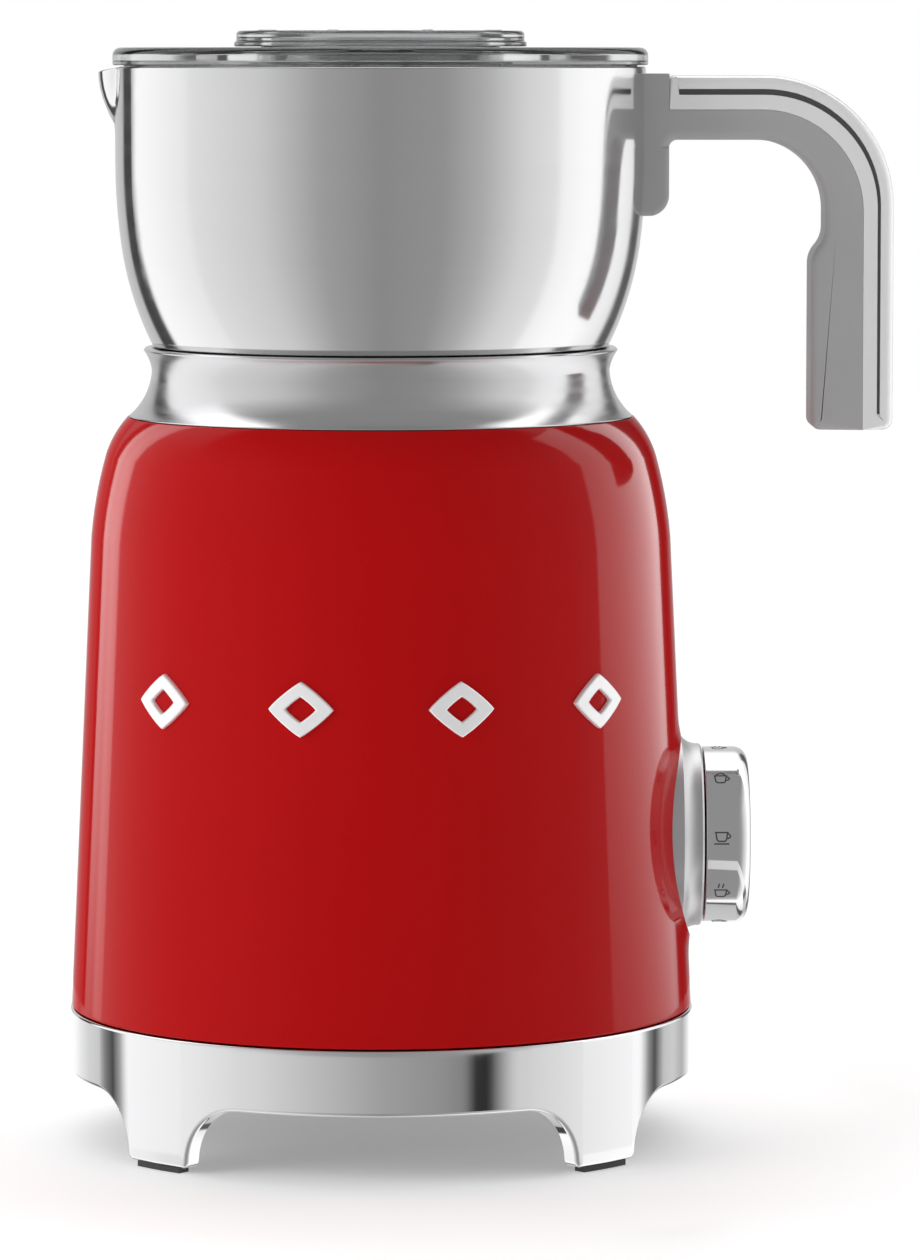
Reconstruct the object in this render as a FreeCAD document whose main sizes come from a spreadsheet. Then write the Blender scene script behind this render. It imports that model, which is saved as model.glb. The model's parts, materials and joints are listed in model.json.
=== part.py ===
"""Electric milk frother: a powered base with a lift-off jug, a lid and a magnetic whisk.

Origin: centre of the feet's rest plane. +Z is up, +X points to the knob and the handle,
and the spout points to -X. Sizes are in millimetres.
"""
import FreeCAD
import Part
import Sketcher
import math
import os
import re

sizes = {
    # how far every cutting outline reaches past what it cuts
    "overshoot": 1.0,
    # foot ring and what closes the base from below
    "ring_radius": 68.0, "ring_wall": 4.5, "foot_low": 1.2, "arch_top": 14.5, "ring_top": 28.5,
    "foot_round": 1.5, "lip_radius": 64.7, "lip_wall": 2.0, "lip_top": 32.5,
    "arch_flat_angle": 26.8, "arch_side_angle": 32.0, "arch_round": 12.4, "foot_side": 6.2,
    "pad_inner": 64.2, "pad_outer": 67.2, "pad_span": 11.0,
    "cover_radius": 63.1, "cover_low": 15.0, "cover_top": 17.6, "vent_inner": 12.0, "vent_outer": 40.0,
    "vent_half": 1.5, "screw_circle": 56.0, "screw_shank": 1.5, "screw_head": 2.8, "screw_tip": 26.0,
    "screw_head_top": 16.6, "screw_head_tall": 1.8, "chassis_low": 18.0, "chassis_top": 20.5,
    "chassis_hole": 27.0,
    "boss_radius": 4.0, "boss_top": 27.0, "column_circle": 40.0, "column_top": 149.9, "column_bore": 14.0,
    # red shell
    "shell_low": 28.8, "shell_foot_radius": 67.7, "shell_break": 131.0, "shell_break_radius": 62.9,
    "shell_wall": 2.5, "shell_mid_z": 149.0, "shell_mid_radius": 59.6, "shell_mid_arc": 95.0,
    "shell_top": 157.0, "shell_top_radius": 54.9, "shell_top_arc": 22.0, "shell_neck": 47.9,
    "knob_height": 65.4, "knob_hole": 14.0, "gland_height": 39.6, "gland_hole": 6.2,
    "shell_hole_depth": 12.0,
    # neck collar and the seat under the jug
    "collar_low": 157.1, "collar_foot": 54.7, "collar_waist": 49.6, "collar_waist_z": 167.0,
    "collar_lip": 51.4, "collar_top": 172.0, "collar_wall": 1.2, "collar_flange": 49.2,
    "collar_low_arc": 14.0, "collar_top_arc": 9.0,
    "seat_low": 162.6, "seat_top": 165.7, "seat_radius": 46.5, "seat_skirt": 44.9, "seat_skirt_low": 157.3,
    "sensor_port": 3.8, "gasket_outer": 48.1, "gasket_low": 163.0, "gasket_top": 165.5,
    # heater
    "carrier_low": 150.0, "carrier_top": 153.0, "carrier_hole": 20.6, "carrier_radius": 47.3,
    "carrier_rim": 44.9, "carrier_rim_top": 157.2, "coil_inner": 32.0, "coil_outer": 44.0,
    "coil_low": 157.4, "coil_top": 161.0, "ferrite_top": 157.0, "ferrite_width": 8.0, "ferrite_angle": 22.5,
    # whisk drive
    "motor_radius": 14.0, "motor_low": 104.0, "motor_top": 135.8, "motor_boss": 5.0, "motor_boss_top": 139.0,
    "motor_bore": 1.75, "shaft_radius": 1.6, "shaft_low": 108.0, "shaft_top": 160.0,
    "bracket_low": 136.0, "bracket_top": 138.0, "bracket_radius": 33.5, "bracket_hole": 5.2,
    "post_circle": 29.0, "post_radius": 4.0, "isolator_top": 141.0, "isolator_bore": 1.8,
    "rotor_radius": 19.5, "rotor_low": 153.4, "rotor_top": 161.6, "rotor_hub": 5.0, "rotor_hub_low": 141.0,
    "magnet_circle": 12.0, "magnet_radius": 4.5, "magnet_low": 157.5,
    # temperature sensor
    "sensor_place": -26.0, "holder_radius": 4.6, "holder_low": 145.5, "holder_top": 158.5, "holder_bore": 3.0,
    "holder_floor": 147.0, "holder_flange": 6.0, "holder_flange_top": 154.4, "plunger_stem": 2.7,
    "plunger_low": 153.6, "plunger_step": 160.4, "plunger_head": 3.4, "plunger_top": 165.7,
    "spring_radius": 2.2, "spring_wire": 0.3, "spring_pitch": 1.05,
    # cooling fan and electronics
    "fan_low": 20.6, "fan_top": 30.6, "fan_half": 25.0, "fan_bore": 23.2, "fan_hub": 8.6, "fan_spider": 28.9,
    "fan_arm": 1.5,
    "fan_rotor_low": 21.6, "fan_rotor_top": 28.5, "blade_tip": 22.3, "blade_lean": 3.2, "blade_edge": 1.3,
    "board_front": 18.0, "board_back": 19.6, "board_half": 42.0, "board_low": 36.0, "board_top": 98.0,
    "cap_radius": 8.0, "cap_length": 25.0, "cap_across": -28.0, "cap_first_z": 52.0, "cap_step": 19.0,
    "choke_ring": 9.0, "choke_wire": 4.0, "choke_z": 58.0, "choke_across": -4.0, "sink_left": 12.0,
    "sink_right": 38.0,
    "sink_low": 42.0, "sink_top": 86.0, "sink_back": 17.8, "sink_plate": 14.6, "sink_front": -2.0,
    "fin_wall": 1.6, "fin_step": 6.1,
    "clip_across": 34.0, "clip_half": 5.0, "clip_wall": 2.2, "clip_depth": 4.4, "clip_top": 43.0,
    # knob, button and what is behind them
    "dial_back": 70.1, "dial_front": 79.8, "dial_radius": 19.2, "dial_round": 3.0, "dial_bore": 13.2,
    "sleeve_outer": 13.0, "sleeve_inner": 11.3, "sleeve_back": 58.6, "sleeve_front": 73.0,
    "plate_front": 69.7, "plate_front_radius": 19.9, "plate_back_radius": 21.8, "plate_hole": 14.3,
    "plate_curve": 4.2, "plate_flare": 4.4, "plate_band": 30.0, "tube_outer": 11.0, "tube_inner": 9.4,
    "tube_front": 77.8,
    "light_outer": 12.9, "light_back": 73.4, "light_front": 78.3, "button_radius": 9.1, "button_back": 70.0,
    "button_front": 78.9, "button_stem": 2.2, "stem_back": 62.5,
    "button_crown": 60.0,
    "panel_back": 55.4, "panel_front": 57.0, "panel_half": 17.0, "encoder_radius": 15.5,
    "encoder_front": 60.4,
    "encoder_bore": 13.3, "switch_half": 3.0, "switch_front": 60.0, "switch_nub": 1.6, "switch_tip": 61.2,
    "guide_foot": 57.2, "guide_flange_front": 59.2,
    # cord gland
    "gland_bore": 3.2, "gland_flange": 9.0, "gland_outer": 69.2, "gland_inner": 58.0, "gland_nose": 7.6,
    "gland_mouth": 63.9, "gland_flare": 4.8, "gland_flange_wall": 4.0,
    "gland_band": 20.0,
    # raised ornaments on the front
    "badge_height": 99.5, "badge_first": 45.0, "badge_half_tall": 5.8, "badge_half_wide": 7.0,
    "badge_hole_tall": 2.6, "badge_hole_wide": 3.2, "badge_relief": 1.0, "badge_root": 2.0,
    # jug
    "jug_radius": 57.3, "jug_wall": 0.8, "jug_rim": 232.5, "jug_break": 212.0, "jug_upper_arc": 130.0,
    "jug_upper_lean": 8.0, "jug_lower_arc": 70.0, "jug_lower_lean": 28.5, "jug_corner": 8.0,
    "jug_floor": 167.2, "spout_centre": -48.0, "spout_low": 219.5, "spout_low_radius": 9.0,
    "spout_top_radius": 12.9, "spout_curve": 24.0, "disc_low": 166.1, "disc_radius": 38.6,
    "disc_step": 39.0,
    "pin_radius": 2.5, "pin_top": 177.0,
    # whisk
    "whisk_low": 168.7, "whisk_top": 172.4, "whisk_radius": 18.8, "whisk_hub": 7.5, "whisk_hub_top": 180.0,
    "bush_inner": 2.56, "bush_outer": 4.0, "bush_top": 176.0, "cell_radius": 3.6, "cell_circle": 13.0,
    "cell_low": 170.2, "whip_ring": 20.3, "whip_wire": 1.5, "whip_z": 171.2,
    # handle
    "handle_half": 8.5, "handle_edge": 2.0, "grip_bottom": 154.3, "grip_corner": 2.2, "grip_outer": 110.6,
    "grip_seam": 104.0, "grip_inner": 92.8, "grip_neck": 95.8, "bulge_low": 190.0, "bulge_high": 198.0,
    "bulge_arc": 6.1, "outer_arc": 28.0, "outer_turn_x": 82.6, "arm_top": 230.6, "seam_arc": 22.0,
    "seam_turn_x": 82.0, "arm_seam": 223.3, "inner_arc": 15.0, "inner_turn_x": 80.8, "arm_bottom": 216.8,
    "plate_outer_x": 62.1, "plate_low": 200.4, "plate_corner": 4.5, "plate_top": 231.0, "plate_fillet": 1.8,
    "tongue_inner": 57.6, "tongue_outer": 59.6, "tongue_half": 5.0, "tongue_low": 203.5, "tongue_top": 215.5,
    "bolt_first_z": 206.5, "bolt_step": 6.0, "bolt_shank": 1.4, "bolt_head": 2.4, "bolt_seat": 60.6,
    # lid and measuring cap
    "lid_low": 232.8, "lid_radius": 57.8, "lid_top": 236.6, "lid_round": 1.7, "lid_dish": 235.4,
    "lid_plate": 233.8, "lid_dish_outer": 54.4, "skirt_outer": 55.4, "skirt_inner": 53.6, "skirt_low": 226.5,
    "neck_outer": 28.6, "neck_inner": 26.8, "neck_low": 228.0, "neck_top": 236.4, "lid_dish_inner": 33.0,
    "seal_outer": 56.2, "seal_low": 228.2, "seal_top": 230.8, "cup_radius": 31.1, "cup_top": 240.4,
    "cup_low": 236.8, "cup_flange": 31.6, "cup_plug_outer": 25.6, "cup_plug_inner": 23.8,
    "cup_plug_low": 229.5,
    "cup_roof": 238.8, "cup_bead": 26.5, "bead_low": 231.0, "bead_top": 233.4,
}

doc = FreeCAD.newDocument("frother")
sheet = doc.addObject("Spreadsheet::Sheet", "dims")
for row, (alias, value) in enumerate(sizes.items(), 1):
    sheet.set(f"A{row}", alias)
    sheet.set(f"B{row}", str(value))
    sheet.setAlias(f"B{row}", alias)
doc.recompute()

upright = FreeCAD.Vector(0, 0, 1)
small = 1e-6


# ---------------------------------------------------------------- helpers

def linked(text):
    """An expression in which every alias is read from the sheet."""
    def in_sheet(word):
        return "dims." + word.group() if word.group() in sizes else word.group()

    return re.sub(r"[a-z][a-z0-9_]*", in_sheet, str(text))


def value_of(text):
    """The number that an expression stands for now."""
    return float(sheet.evalExpression(linked(text)))


def new_piece(label):
    """An empty body, which becomes one node."""
    body = doc.addObject("PartDesign::Body", label)
    body.Label = label
    body.AllowCompound = True
    return body


def origin_part(body, role):
    """A plane or axis of the body's own origin."""
    return next(part for part in body.Origin.OriginFeatures if part.Role == role)


def new_sketch(body, plane, lift="0", turn=None):
    """A sketch on an origin plane, moved along its normal and turned about its upright."""
    sketch = body.newObject("Sketcher::SketchObject", f"{body.Name}_sketch")
    sketch.AttachmentSupport = [(origin_part(body, plane), "")]
    sketch.MapMode = "FlatFace"
    if turn:
        spin = FreeCAD.Rotation(FreeCAD.Vector(0, 1, 0), value_of(turn))
        sketch.AttachmentOffset = FreeCAD.Placement(FreeCAD.Vector(), spin)
        sketch.setExpression("AttachmentOffset.Base.x", linked(f"({lift}) * sin(({turn}) * 1deg)"))
        lift = f"({lift}) * cos(({turn}) * 1deg)"
    if lift != "0":
        sketch.setExpression("AttachmentOffset.Base.z", linked(lift))
    return sketch


def pin_point(sketch, edge, end, across, up):
    """Hold one point of a sketch at two named distances from the sketch's origin."""
    for kind, text in (("DistanceX", across), ("DistanceY", up)):
        index = sketch.addConstraint(Sketcher.Constraint(kind, -1, 1, edge, end, value_of(text)))
        if re.search("[a-z]", str(text)):
            sketch.setExpression(f"Constraints[{index}]", linked(text))


def hold_radius(sketch, edge, text):
    """Bind the radius of an arc or a circle."""
    index = sketch.addConstraint(Sketcher.Constraint("Radius", edge, value_of(text)))
    if re.search("[a-z]", str(text)):
        sketch.setExpression(f"Constraints[{index}]", linked(text))


def arc_between(first, last, radius):
    """Arc from one point to another; it turns left when the radius is positive."""
    run = last.sub(first)
    left = FreeCAD.Vector(-run.y, run.x, 0).normalize()
    side = 1 if radius > 0 else -1
    depth = abs(radius) - math.sqrt(max(radius * radius - run.Length ** 2 / 4, 0))
    middle = (first + last) * 0.5 - left * (side * depth)
    return Part.ArcOfCircle(first, middle, last)


def draw_outline(sketch, corners):
    """Closed outline of (across, up) corners; a third entry makes the edge that ends there an arc."""
    spots = [FreeCAD.Vector(value_of(c[0]), value_of(c[1]), 0) for c in corners]
    starts = []
    for place, corner in enumerate(corners):
        first, last = spots[place - 1], spots[place]
        if len(corner) == 2:
            edge = sketch.addGeometry(Part.LineSegment(first, last), False)
            starts.append((edge, 1, 2))
            continue
        radius = value_of(corner[2])
        edge = sketch.addGeometry(arc_between(first, last, radius), False)
        starts.append((edge, 1, 2) if radius > 0 else (edge, 2, 1))
    for place in range(len(corners)):
        edge, _, end = starts[place]
        following, start, _ = starts[(place + 1) % len(corners)]
        sketch.addConstraint(Sketcher.Constraint("Coincident", edge, end, following, start))
        pin_point(sketch, edge, end, corners[place][0], corners[place][1])
    for place, corner in enumerate(corners):
        if len(corner) == 3:
            hold_radius(sketch, starts[place][0], str(corner[2]).lstrip("-"))


def draw_circles(sketch, circles):
    """Circles given as (across, up, radius)."""
    for across, up, radius in circles:
        centre = FreeCAD.Vector(value_of(across), value_of(up), 0)
        edge = sketch.addGeometry(Part.Circle(centre, upright, value_of(radius)), False)
        pin_point(sketch, edge, 3, across, up)
        hold_radius(sketch, edge, radius)


def draw_box(sketch, left, right, low, high):
    """Rectangle between named sides."""
    draw_outline(sketch, [(left, low), (right, low), (right, high), (left, high)])


def turned(body, corners, axis="V_Axis", angle=360, plane="XZ_Plane"):
    """Solid of revolution about an axis of its sketch."""
    sketch = new_sketch(body, plane)
    draw_outline(sketch, corners)
    feature = body.newObject("PartDesign::Revolution", f"{body.Name}_turned")
    feature.Profile = sketch
    feature.ReferenceAxis = (sketch, [axis])
    feature.Angle = angle
    feature.Midplane = angle < 360
    body.Tip = feature
    return feature


def grooved(body, corners, axis="V_Axis", plane="XZ_Plane"):
    """Turned cut all the way round."""
    return checked_cut(body, "PartDesign::Groove", plane, "0", corners, axis=axis)


def padded(body, sketch, length, both=False):
    """Pad along the sketch's normal, or half to each side."""
    feature = body.newObject("PartDesign::Pad", f"{body.Name}_pad")
    feature.Profile = sketch
    feature.setExpression("Length", linked(length))
    feature.SideType = "Symmetric" if both else "One side"
    body.Tip = feature
    return feature


def checked_cut(body, kind, plane, lift, corners, axis=None, circles=None, length=None, turn=None):
    """A groove or pocket that must take material away."""
    doc.recompute()
    before = body.Shape.Volume
    sketch = new_sketch(body, plane, lift, turn)
    if corners:
        draw_outline(sketch, corners)
    if circles:
        draw_circles(sketch, circles)
    feature = body.newObject(kind, f"{body.Name}_cut")
    feature.Profile = sketch
    if axis:
        feature.ReferenceAxis = (sketch, [axis])
        feature.Angle = 360
    else:
        feature.setExpression("Length", linked(length))
    body.Tip = feature
    doc.recompute()
    if not body.Shape.Volume < before - small:
        raise RuntimeError(f"{feature.Label} of {body.Label} cuts nothing")
    return feature


def pocket(body, plane, lift, length, corners=None, circles=None, turn=None):
    """Pocket against the sketch's normal."""
    return checked_cut(body, "PartDesign::Pocket", plane, lift, corners, None, circles, length, turn)


def around(body, features, count, angle=360.0):
    """Repeat features about the upright axis."""
    pattern = body.newObject("PartDesign::PolarPattern", f"{body.Name}_pattern")
    pattern.Originals = features
    pattern.Axis = (origin_part(body, "Z_Axis"), [""])
    pattern.Angle = angle
    pattern.Occurrences = count
    body.Tip = pattern
    return pattern


def rods(body, circles, low, high, plane="XY_Plane"):
    """Round rods between two heights above an origin plane."""
    sketch = new_sketch(body, plane, low)
    draw_circles(sketch, circles)
    return padded(body, sketch, f"{high} - ({low})")


def block(body, left, right, low, high, start, end, plane="XZ_Plane"):
    """Rectangular bar; start and end are measured along the plane's normal."""
    sketch = new_sketch(body, plane, start)
    draw_box(sketch, left, right, low, high)
    return padded(body, sketch, f"{end} - ({start})")


def at_knob(body):
    """Put a body's origin on the knob's axis."""
    body.setExpression("Placement.Base.z", linked("knob_height"))


def slope(text):
    """Radius of the shell's straight part at a height."""
    fall = "(shell_foot_radius - shell_break_radius) / (shell_break - shell_low)"
    return f"(shell_foot_radius - ({text} - shell_low) * {fall})"


def leaning(point, radius, first, last):
    """Outline point where an arc ends that goes from one lean to another."""
    across = f"{point[0]} - ({radius}) * (cos({first} * 1deg) - cos({last} * 1deg))"
    up = f"{point[1]} - ({radius}) * (sin({last} * 1deg) - sin({first} * 1deg))"
    return across, up


# ---------------------------------------------------------------- base, outside

def make_foot_ring():
    body = new_piece("foot_ring")
    turned(body, [
        ("ring_radius - ring_wall", "foot_low"), ("ring_radius - foot_round", "foot_low"),
        ("ring_radius", "foot_low + foot_round", "foot_round"), ("ring_radius", "ring_top - 0.6"),
        ("ring_radius - 0.6", "ring_top"), ("lip_radius", "ring_top"), ("lip_radius", "lip_top"),
        ("lip_radius - lip_wall", "lip_top"), ("lip_radius - lip_wall", "ring_top - 4"),
        ("ring_radius - ring_wall", "ring_top - 6")])
    flat = "ring_radius * sin(arch_flat_angle * 1deg)"
    start, depth, below = "ring_radius + overshoot", "ring_radius * 0.16", "0 - overshoot"
    cuts = [pocket(body, "XZ_Plane", start, depth, corners=[
        (f"0 - {flat}", below), (flat, below), (flat, "arch_top"), (f"0 - {flat}", "arch_top")])]
    edge = "foot_side - arch_round"
    bend = "arch_top - arch_round"
    inside = f"{edge} - arch_round / 2"
    right = [(inside, below), ("foot_side", below), ("foot_side", bend), (edge, "arch_top", "arch_round"),
             (inside, "arch_top")]
    left = [(f"0 - ({inside})", below), (f"0 - ({inside})", "arch_top"), (f"0 - ({edge})", "arch_top"),
            ("0 - foot_side", bend, "arch_round"), ("0 - foot_side", below)]
    cuts.append(pocket(body, "XZ_Plane", start, depth, corners=right, turn="arch_side_angle"))
    cuts.append(pocket(body, "XZ_Plane", start, depth, corners=left, turn="0 - arch_side_angle"))
    around(body, cuts, 4)


def make_foot_pads():
    body = new_piece("foot_pads")
    feature = turned(body, [("pad_inner", "0"), ("pad_outer", "0"), ("pad_outer", "foot_low"),
                            ("pad_inner", "foot_low")], angle=sizes["pad_span"])
    around(body, [feature], 4)
    body.Placement = FreeCAD.Placement(FreeCAD.Vector(), FreeCAD.Rotation(upright, 45))


def make_bottom_cover():
    body = new_piece("bottom_cover")
    turned(body, [("0", "cover_low"), ("cover_radius - 1", "cover_low"), ("cover_radius", "cover_low + 1"),
                  ("cover_radius", "cover_top"), ("0", "cover_top")])
    above, through = "cover_top + overshoot", "cover_top - cover_low + 2 * overshoot"
    slot = pocket(body, "XY_Plane", above, through, corners=[
        ("vent_inner", "0 - vent_half", "vent_half * 1.1"), ("vent_outer", "0 - vent_half"),
        ("vent_outer", "vent_half", "vent_half * 1.1"), ("vent_inner", "vent_half")])
    around(body, [slot], 16)
    doc.recompute()
    at_45 = "screw_circle * cos(45 * 1deg)"
    hole = pocket(body, "XY_Plane", above, through, circles=[(at_45, at_45, "screw_shank + 0.2")])
    sink = pocket(body, "XY_Plane", "screw_head_top", through, circles=[(at_45, at_45, "screw_head + 0.2")])
    around(body, [hole, sink], 4)


def make_bottom_screws():
    body = new_piece("bottom_screws")
    at_45 = "screw_circle * cos(45 * 1deg)"
    shank = rods(body, [(at_45, at_45, "screw_shank")], "screw_head_top", "screw_tip")
    head = rods(body, [(at_45, at_45, "screw_head")], "cover_low + 0.1", "screw_head_top")
    around(body, [shank, head], 4)


def make_chassis():
    body = new_piece("chassis")
    turned(body, [("chassis_hole", "chassis_low"), ("cover_radius", "chassis_low"),
                  ("cover_radius", "chassis_top"), ("chassis_hole", "chassis_top")])
    edge = "screw_circle * cos(45 * 1deg)"
    inner = "column_circle * cos(45 * 1deg)"
    boss = rods(body, [(edge, edge, "boss_radius")], "chassis_low", "boss_top")
    column = rods(body, [(inner, inner, "boss_radius")], "chassis_low", "column_top")
    doc.recompute()
    lower = pocket(body, "XY_Plane", "boss_top", "boss_top - chassis_low",
                   circles=[(edge, edge, "screw_shank + 0.02")])
    upper = pocket(body, "XY_Plane", "column_top", "column_bore",
                   circles=[(inner, inner, "screw_shank + 0.02")])
    around(body, [boss, column, lower, upper], 4)


def shell_outline():
    """Outer line of the shell from foot to top."""
    return [("shell_foot_radius", "shell_low"), ("shell_break_radius", "shell_break"),
            ("shell_mid_radius", "shell_mid_z", "shell_mid_arc"),
            ("shell_top_radius", "shell_top", "shell_top_arc")]


def make_body_shell():
    body = new_piece("body_shell")
    under_top = "shell_top - shell_wall"
    inner = [("shell_foot_radius - shell_wall", "shell_low"),
             ("shell_break_radius - shell_wall", "shell_break"),
             ("shell_mid_radius - shell_wall", "shell_mid_z - 1"), ("shell_top_radius - 2", under_top),
             ("shell_neck", under_top), ("shell_neck", "shell_top")]
    turned(body, shell_outline() + inner[::-1])
    pocket(body, "YZ_Plane", "shell_foot_radius + overshoot", "shell_hole_depth",
           circles=[("0", "knob_height", "knob_hole")])
    pocket(body, "XZ_Plane", "shell_hole_depth - shell_foot_radius", "shell_hole_depth + overshoot",
           circles=[("0", "gland_height", "gland_hole")])


def make_neck_collar():
    body = new_piece("neck_collar")
    turned(body, [
        ("collar_flange", "collar_low"), ("collar_foot", "collar_low"),
        ("collar_waist", "collar_waist_z", "-collar_low_arc"),
        ("collar_lip", "collar_top - 0.5", "-collar_top_arc"),
        ("collar_lip - 0.5", "collar_top"), ("collar_lip - 1.7", "collar_top"),
        ("collar_waist - collar_wall", "collar_waist_z", "collar_top_arc + collar_wall"),
        ("collar_foot - 3.4", "collar_low + collar_wall", "collar_low_arc + collar_wall"),
        ("collar_flange", "collar_low + collar_wall")])


def make_front_badges():
    body = new_piece("front_badges")
    sketch = new_sketch(body, "XZ_Plane", "shell_break_radius - badge_root", "0 - badge_first")
    for wide, tall in (("badge_half_wide", "badge_half_tall"), ("badge_hole_wide", "badge_hole_tall")):
        draw_outline(sketch, [("0", f"badge_height - {tall}"), (wide, "badge_height"),
                              ("0", f"badge_height + {tall}"), (f"0 - {wide}", "badge_height")])
    first = padded(body, sketch, "4 * badge_root")
    around(body, [first], 4, 90.0)
    low, high = "badge_height - 2 * badge_half_tall", "badge_height + 2 * badge_half_tall"
    past = "ring_radius + badge_half_wide"
    doc.recompute()
    grooved(body, [("0", low), (slope(low), low), (slope(high), high), ("0", high)])
    grooved(body, [(f"{slope(low)} + badge_relief", low), (past, low), (past, high),
                   (f"{slope(high)} + badge_relief", high)])


def make_cord_grommet():
    body = new_piece("cord_grommet")
    body.setExpression("Placement.Base.z", linked("gland_height"))
    back = "gland_outer - gland_flange_wall"
    turned(body, [("0", back), ("gland_flange", back), ("gland_flange", "gland_outer - 1"),
                  ("gland_flange - 1", "gland_outer"), ("0", "gland_outer")], plane="XY_Plane")
    low, high = slope("gland_height - gland_band"), slope("gland_height + gland_band")
    grooved(body, [("0", "0 - gland_band"), (low, "0 - gland_band"), (high, "gland_band"),
                   ("0", "gland_band")])
    rods(body, [("0", "0", "gland_hole - 0.1")], "0 - gland_outer + 1", "0 - gland_inner", "XZ_Plane")
    rods(body, [("0", "0", "gland_nose")], "0 - gland_inner - 3", "0 - gland_inner", "XZ_Plane")
    pocket(body, "XZ_Plane", "0 - gland_inner + overshoot", "gland_outer - gland_inner + 2 * overshoot",
           circles=[("0", "0", "gland_bore")])
    grooved(body, [("0", "gland_mouth"), ("gland_bore", "gland_mouth"), ("gland_flare", "gland_outer"),
                   ("gland_flare", "gland_outer + overshoot"), ("0", "gland_outer + overshoot")],
                   plane="XY_Plane")


# ---------------------------------------------------------------- knob

def make_knob_escutcheon():
    body = new_piece("knob_escutcheon")
    at_knob(body)
    turned(body, [
        ("plate_front", "plate_hole"), ("plate_front", "plate_front_radius - 0.4"),
        ("plate_front - 0.4", "plate_front_radius"),
        ("plate_front - plate_flare", "plate_back_radius", "-plate_curve"),
        ("sleeve_back", "plate_back_radius"), ("sleeve_back", "plate_hole")], axis="H_Axis")
    low, high = slope("knob_height - plate_band"), slope("knob_height + plate_band")
    grooved(body, [("0", "0 - plate_band"), (low, "0 - plate_band"), (high, "plate_band"),
                   ("0", "plate_band")])


def make_knob_ring():
    body = new_piece("knob_ring")
    at_knob(body)
    turned(body, [
        ("sleeve_back", "sleeve_inner"), ("sleeve_front", "sleeve_inner"), ("sleeve_front", "dial_bore"),
        ("dial_front - 0.8", "dial_bore"), ("dial_front", "dial_bore + 0.8", "-0.8"),
        ("dial_front", "dial_radius - dial_round"), ("dial_front - dial_round", "dial_radius", "dial_round"),
        ("dial_back", "dial_radius"), ("dial_back", "sleeve_outer"), ("sleeve_back", "sleeve_outer")],
        axis="H_Axis")


def make_knob_guide():
    body = new_piece("knob_guide")
    at_knob(body)
    turned(body, [
        ("guide_foot", "button_stem + 0.3"), ("guide_flange_front", "button_stem + 0.3"),
        ("guide_flange_front", "tube_inner"), ("tube_front", "tube_inner"), ("tube_front", "tube_outer"),
        ("guide_flange_front", "tube_outer"), ("guide_foot", "tube_outer")], axis="H_Axis")
    pocket(body, "YZ_Plane", "guide_flange_front + overshoot",
           "guide_flange_front - guide_foot + 2 * overshoot",
           circles=[("0", "0", "switch_half * 1.5")])


def make_led_ring():
    body = new_piece("led_ring")
    at_knob(body)
    turned(body, [("light_back", "tube_outer"), ("light_front", "tube_outer"),
                  ("light_front", "light_outer"), ("light_back", "light_outer")], axis="H_Axis")


def make_start_button():
    body = new_piece("start_button")
    at_knob(body)
    turned(body, [
        ("stem_back", "0"), ("button_front - 0.6", "0"),
        ("button_front", "button_radius - 1.5", "-button_crown"),
        ("button_front - 0.8", "button_radius", "1.6"), ("button_back", "button_radius"),
        ("button_back", "button_stem"), ("stem_back", "button_stem")], axis="H_Axis")


def make_knob_board():
    body = new_piece("knob_board")
    at_knob(body)
    block(body, "0 - panel_half", "panel_half", "0 - panel_half", "panel_half", "panel_back", "panel_front",
          "YZ_Plane")


def make_knob_encoder():
    body = new_piece("knob_encoder")
    at_knob(body)
    turned(body, [("panel_front", "encoder_bore"), ("encoder_front", "encoder_bore"),
                  ("encoder_front", "encoder_radius"), ("panel_front", "encoder_radius")], axis="H_Axis")


def make_tact_switch():
    body = new_piece("tact_switch")
    at_knob(body)
    block(body, "0 - switch_half", "switch_half", "0 - switch_half", "switch_half", "panel_front",
          "switch_front", "YZ_Plane")
    rods(body, [("0", "0", "switch_nub")], "switch_front - 1", "switch_tip", "YZ_Plane")


# ---------------------------------------------------------------- seat, heater and drive

def make_seat_plate():
    body = new_piece("seat_plate")
    turned(body, [("0", "seat_low"), ("seat_skirt", "seat_low"), ("seat_skirt", "seat_skirt_low"),
                  ("seat_radius", "seat_skirt_low"), ("seat_radius", "seat_top - 0.8"),
                  ("seat_radius - 0.8", "seat_top", "0.8"), ("0", "seat_top")])
    pocket(body, "XY_Plane", "seat_top + overshoot", "seat_top - seat_low + 2 * overshoot",
           circles=[("0", "sensor_place", "sensor_port")])


def make_seat_gasket():
    body = new_piece("seat_gasket")
    turned(body, [("seat_radius", "gasket_low"), ("gasket_outer", "gasket_low"),
                  ("gasket_outer", "gasket_top - 1"), ("seat_radius + 0.4", "gasket_top - 0.6"),
                  ("seat_radius", "gasket_top - 0.8")])


def make_coil_carrier():
    body = new_piece("coil_carrier")
    turned(body, [("carrier_hole", "carrier_low"), ("carrier_radius", "carrier_low"),
                  ("carrier_radius", "carrier_rim_top"), ("carrier_rim", "carrier_rim_top"),
                  ("carrier_rim", "carrier_top"), ("carrier_hole", "carrier_top")])
    post = rods(body, [("post_circle", "0", "post_radius")], "isolator_top", "carrier_low + 1")
    doc.recompute()
    bore = pocket(body, "XY_Plane", "carrier_low", "carrier_low - isolator_top + overshoot",
                  circles=[("post_circle", "0", "screw_shank + 0.02")])
    around(body, [post, bore], 3)
    inner = "column_circle * cos(45 * 1deg)"
    above, through = "carrier_top + overshoot", "carrier_top - carrier_low + 2 * overshoot"
    hole = pocket(body, "XY_Plane", above, through, circles=[(inner, inner, "screw_shank + 0.2")])
    around(body, [hole], 4)
    pocket(body, "XY_Plane", above, through, circles=[("0", "sensor_place", "holder_radius + 0.1")])


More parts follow.
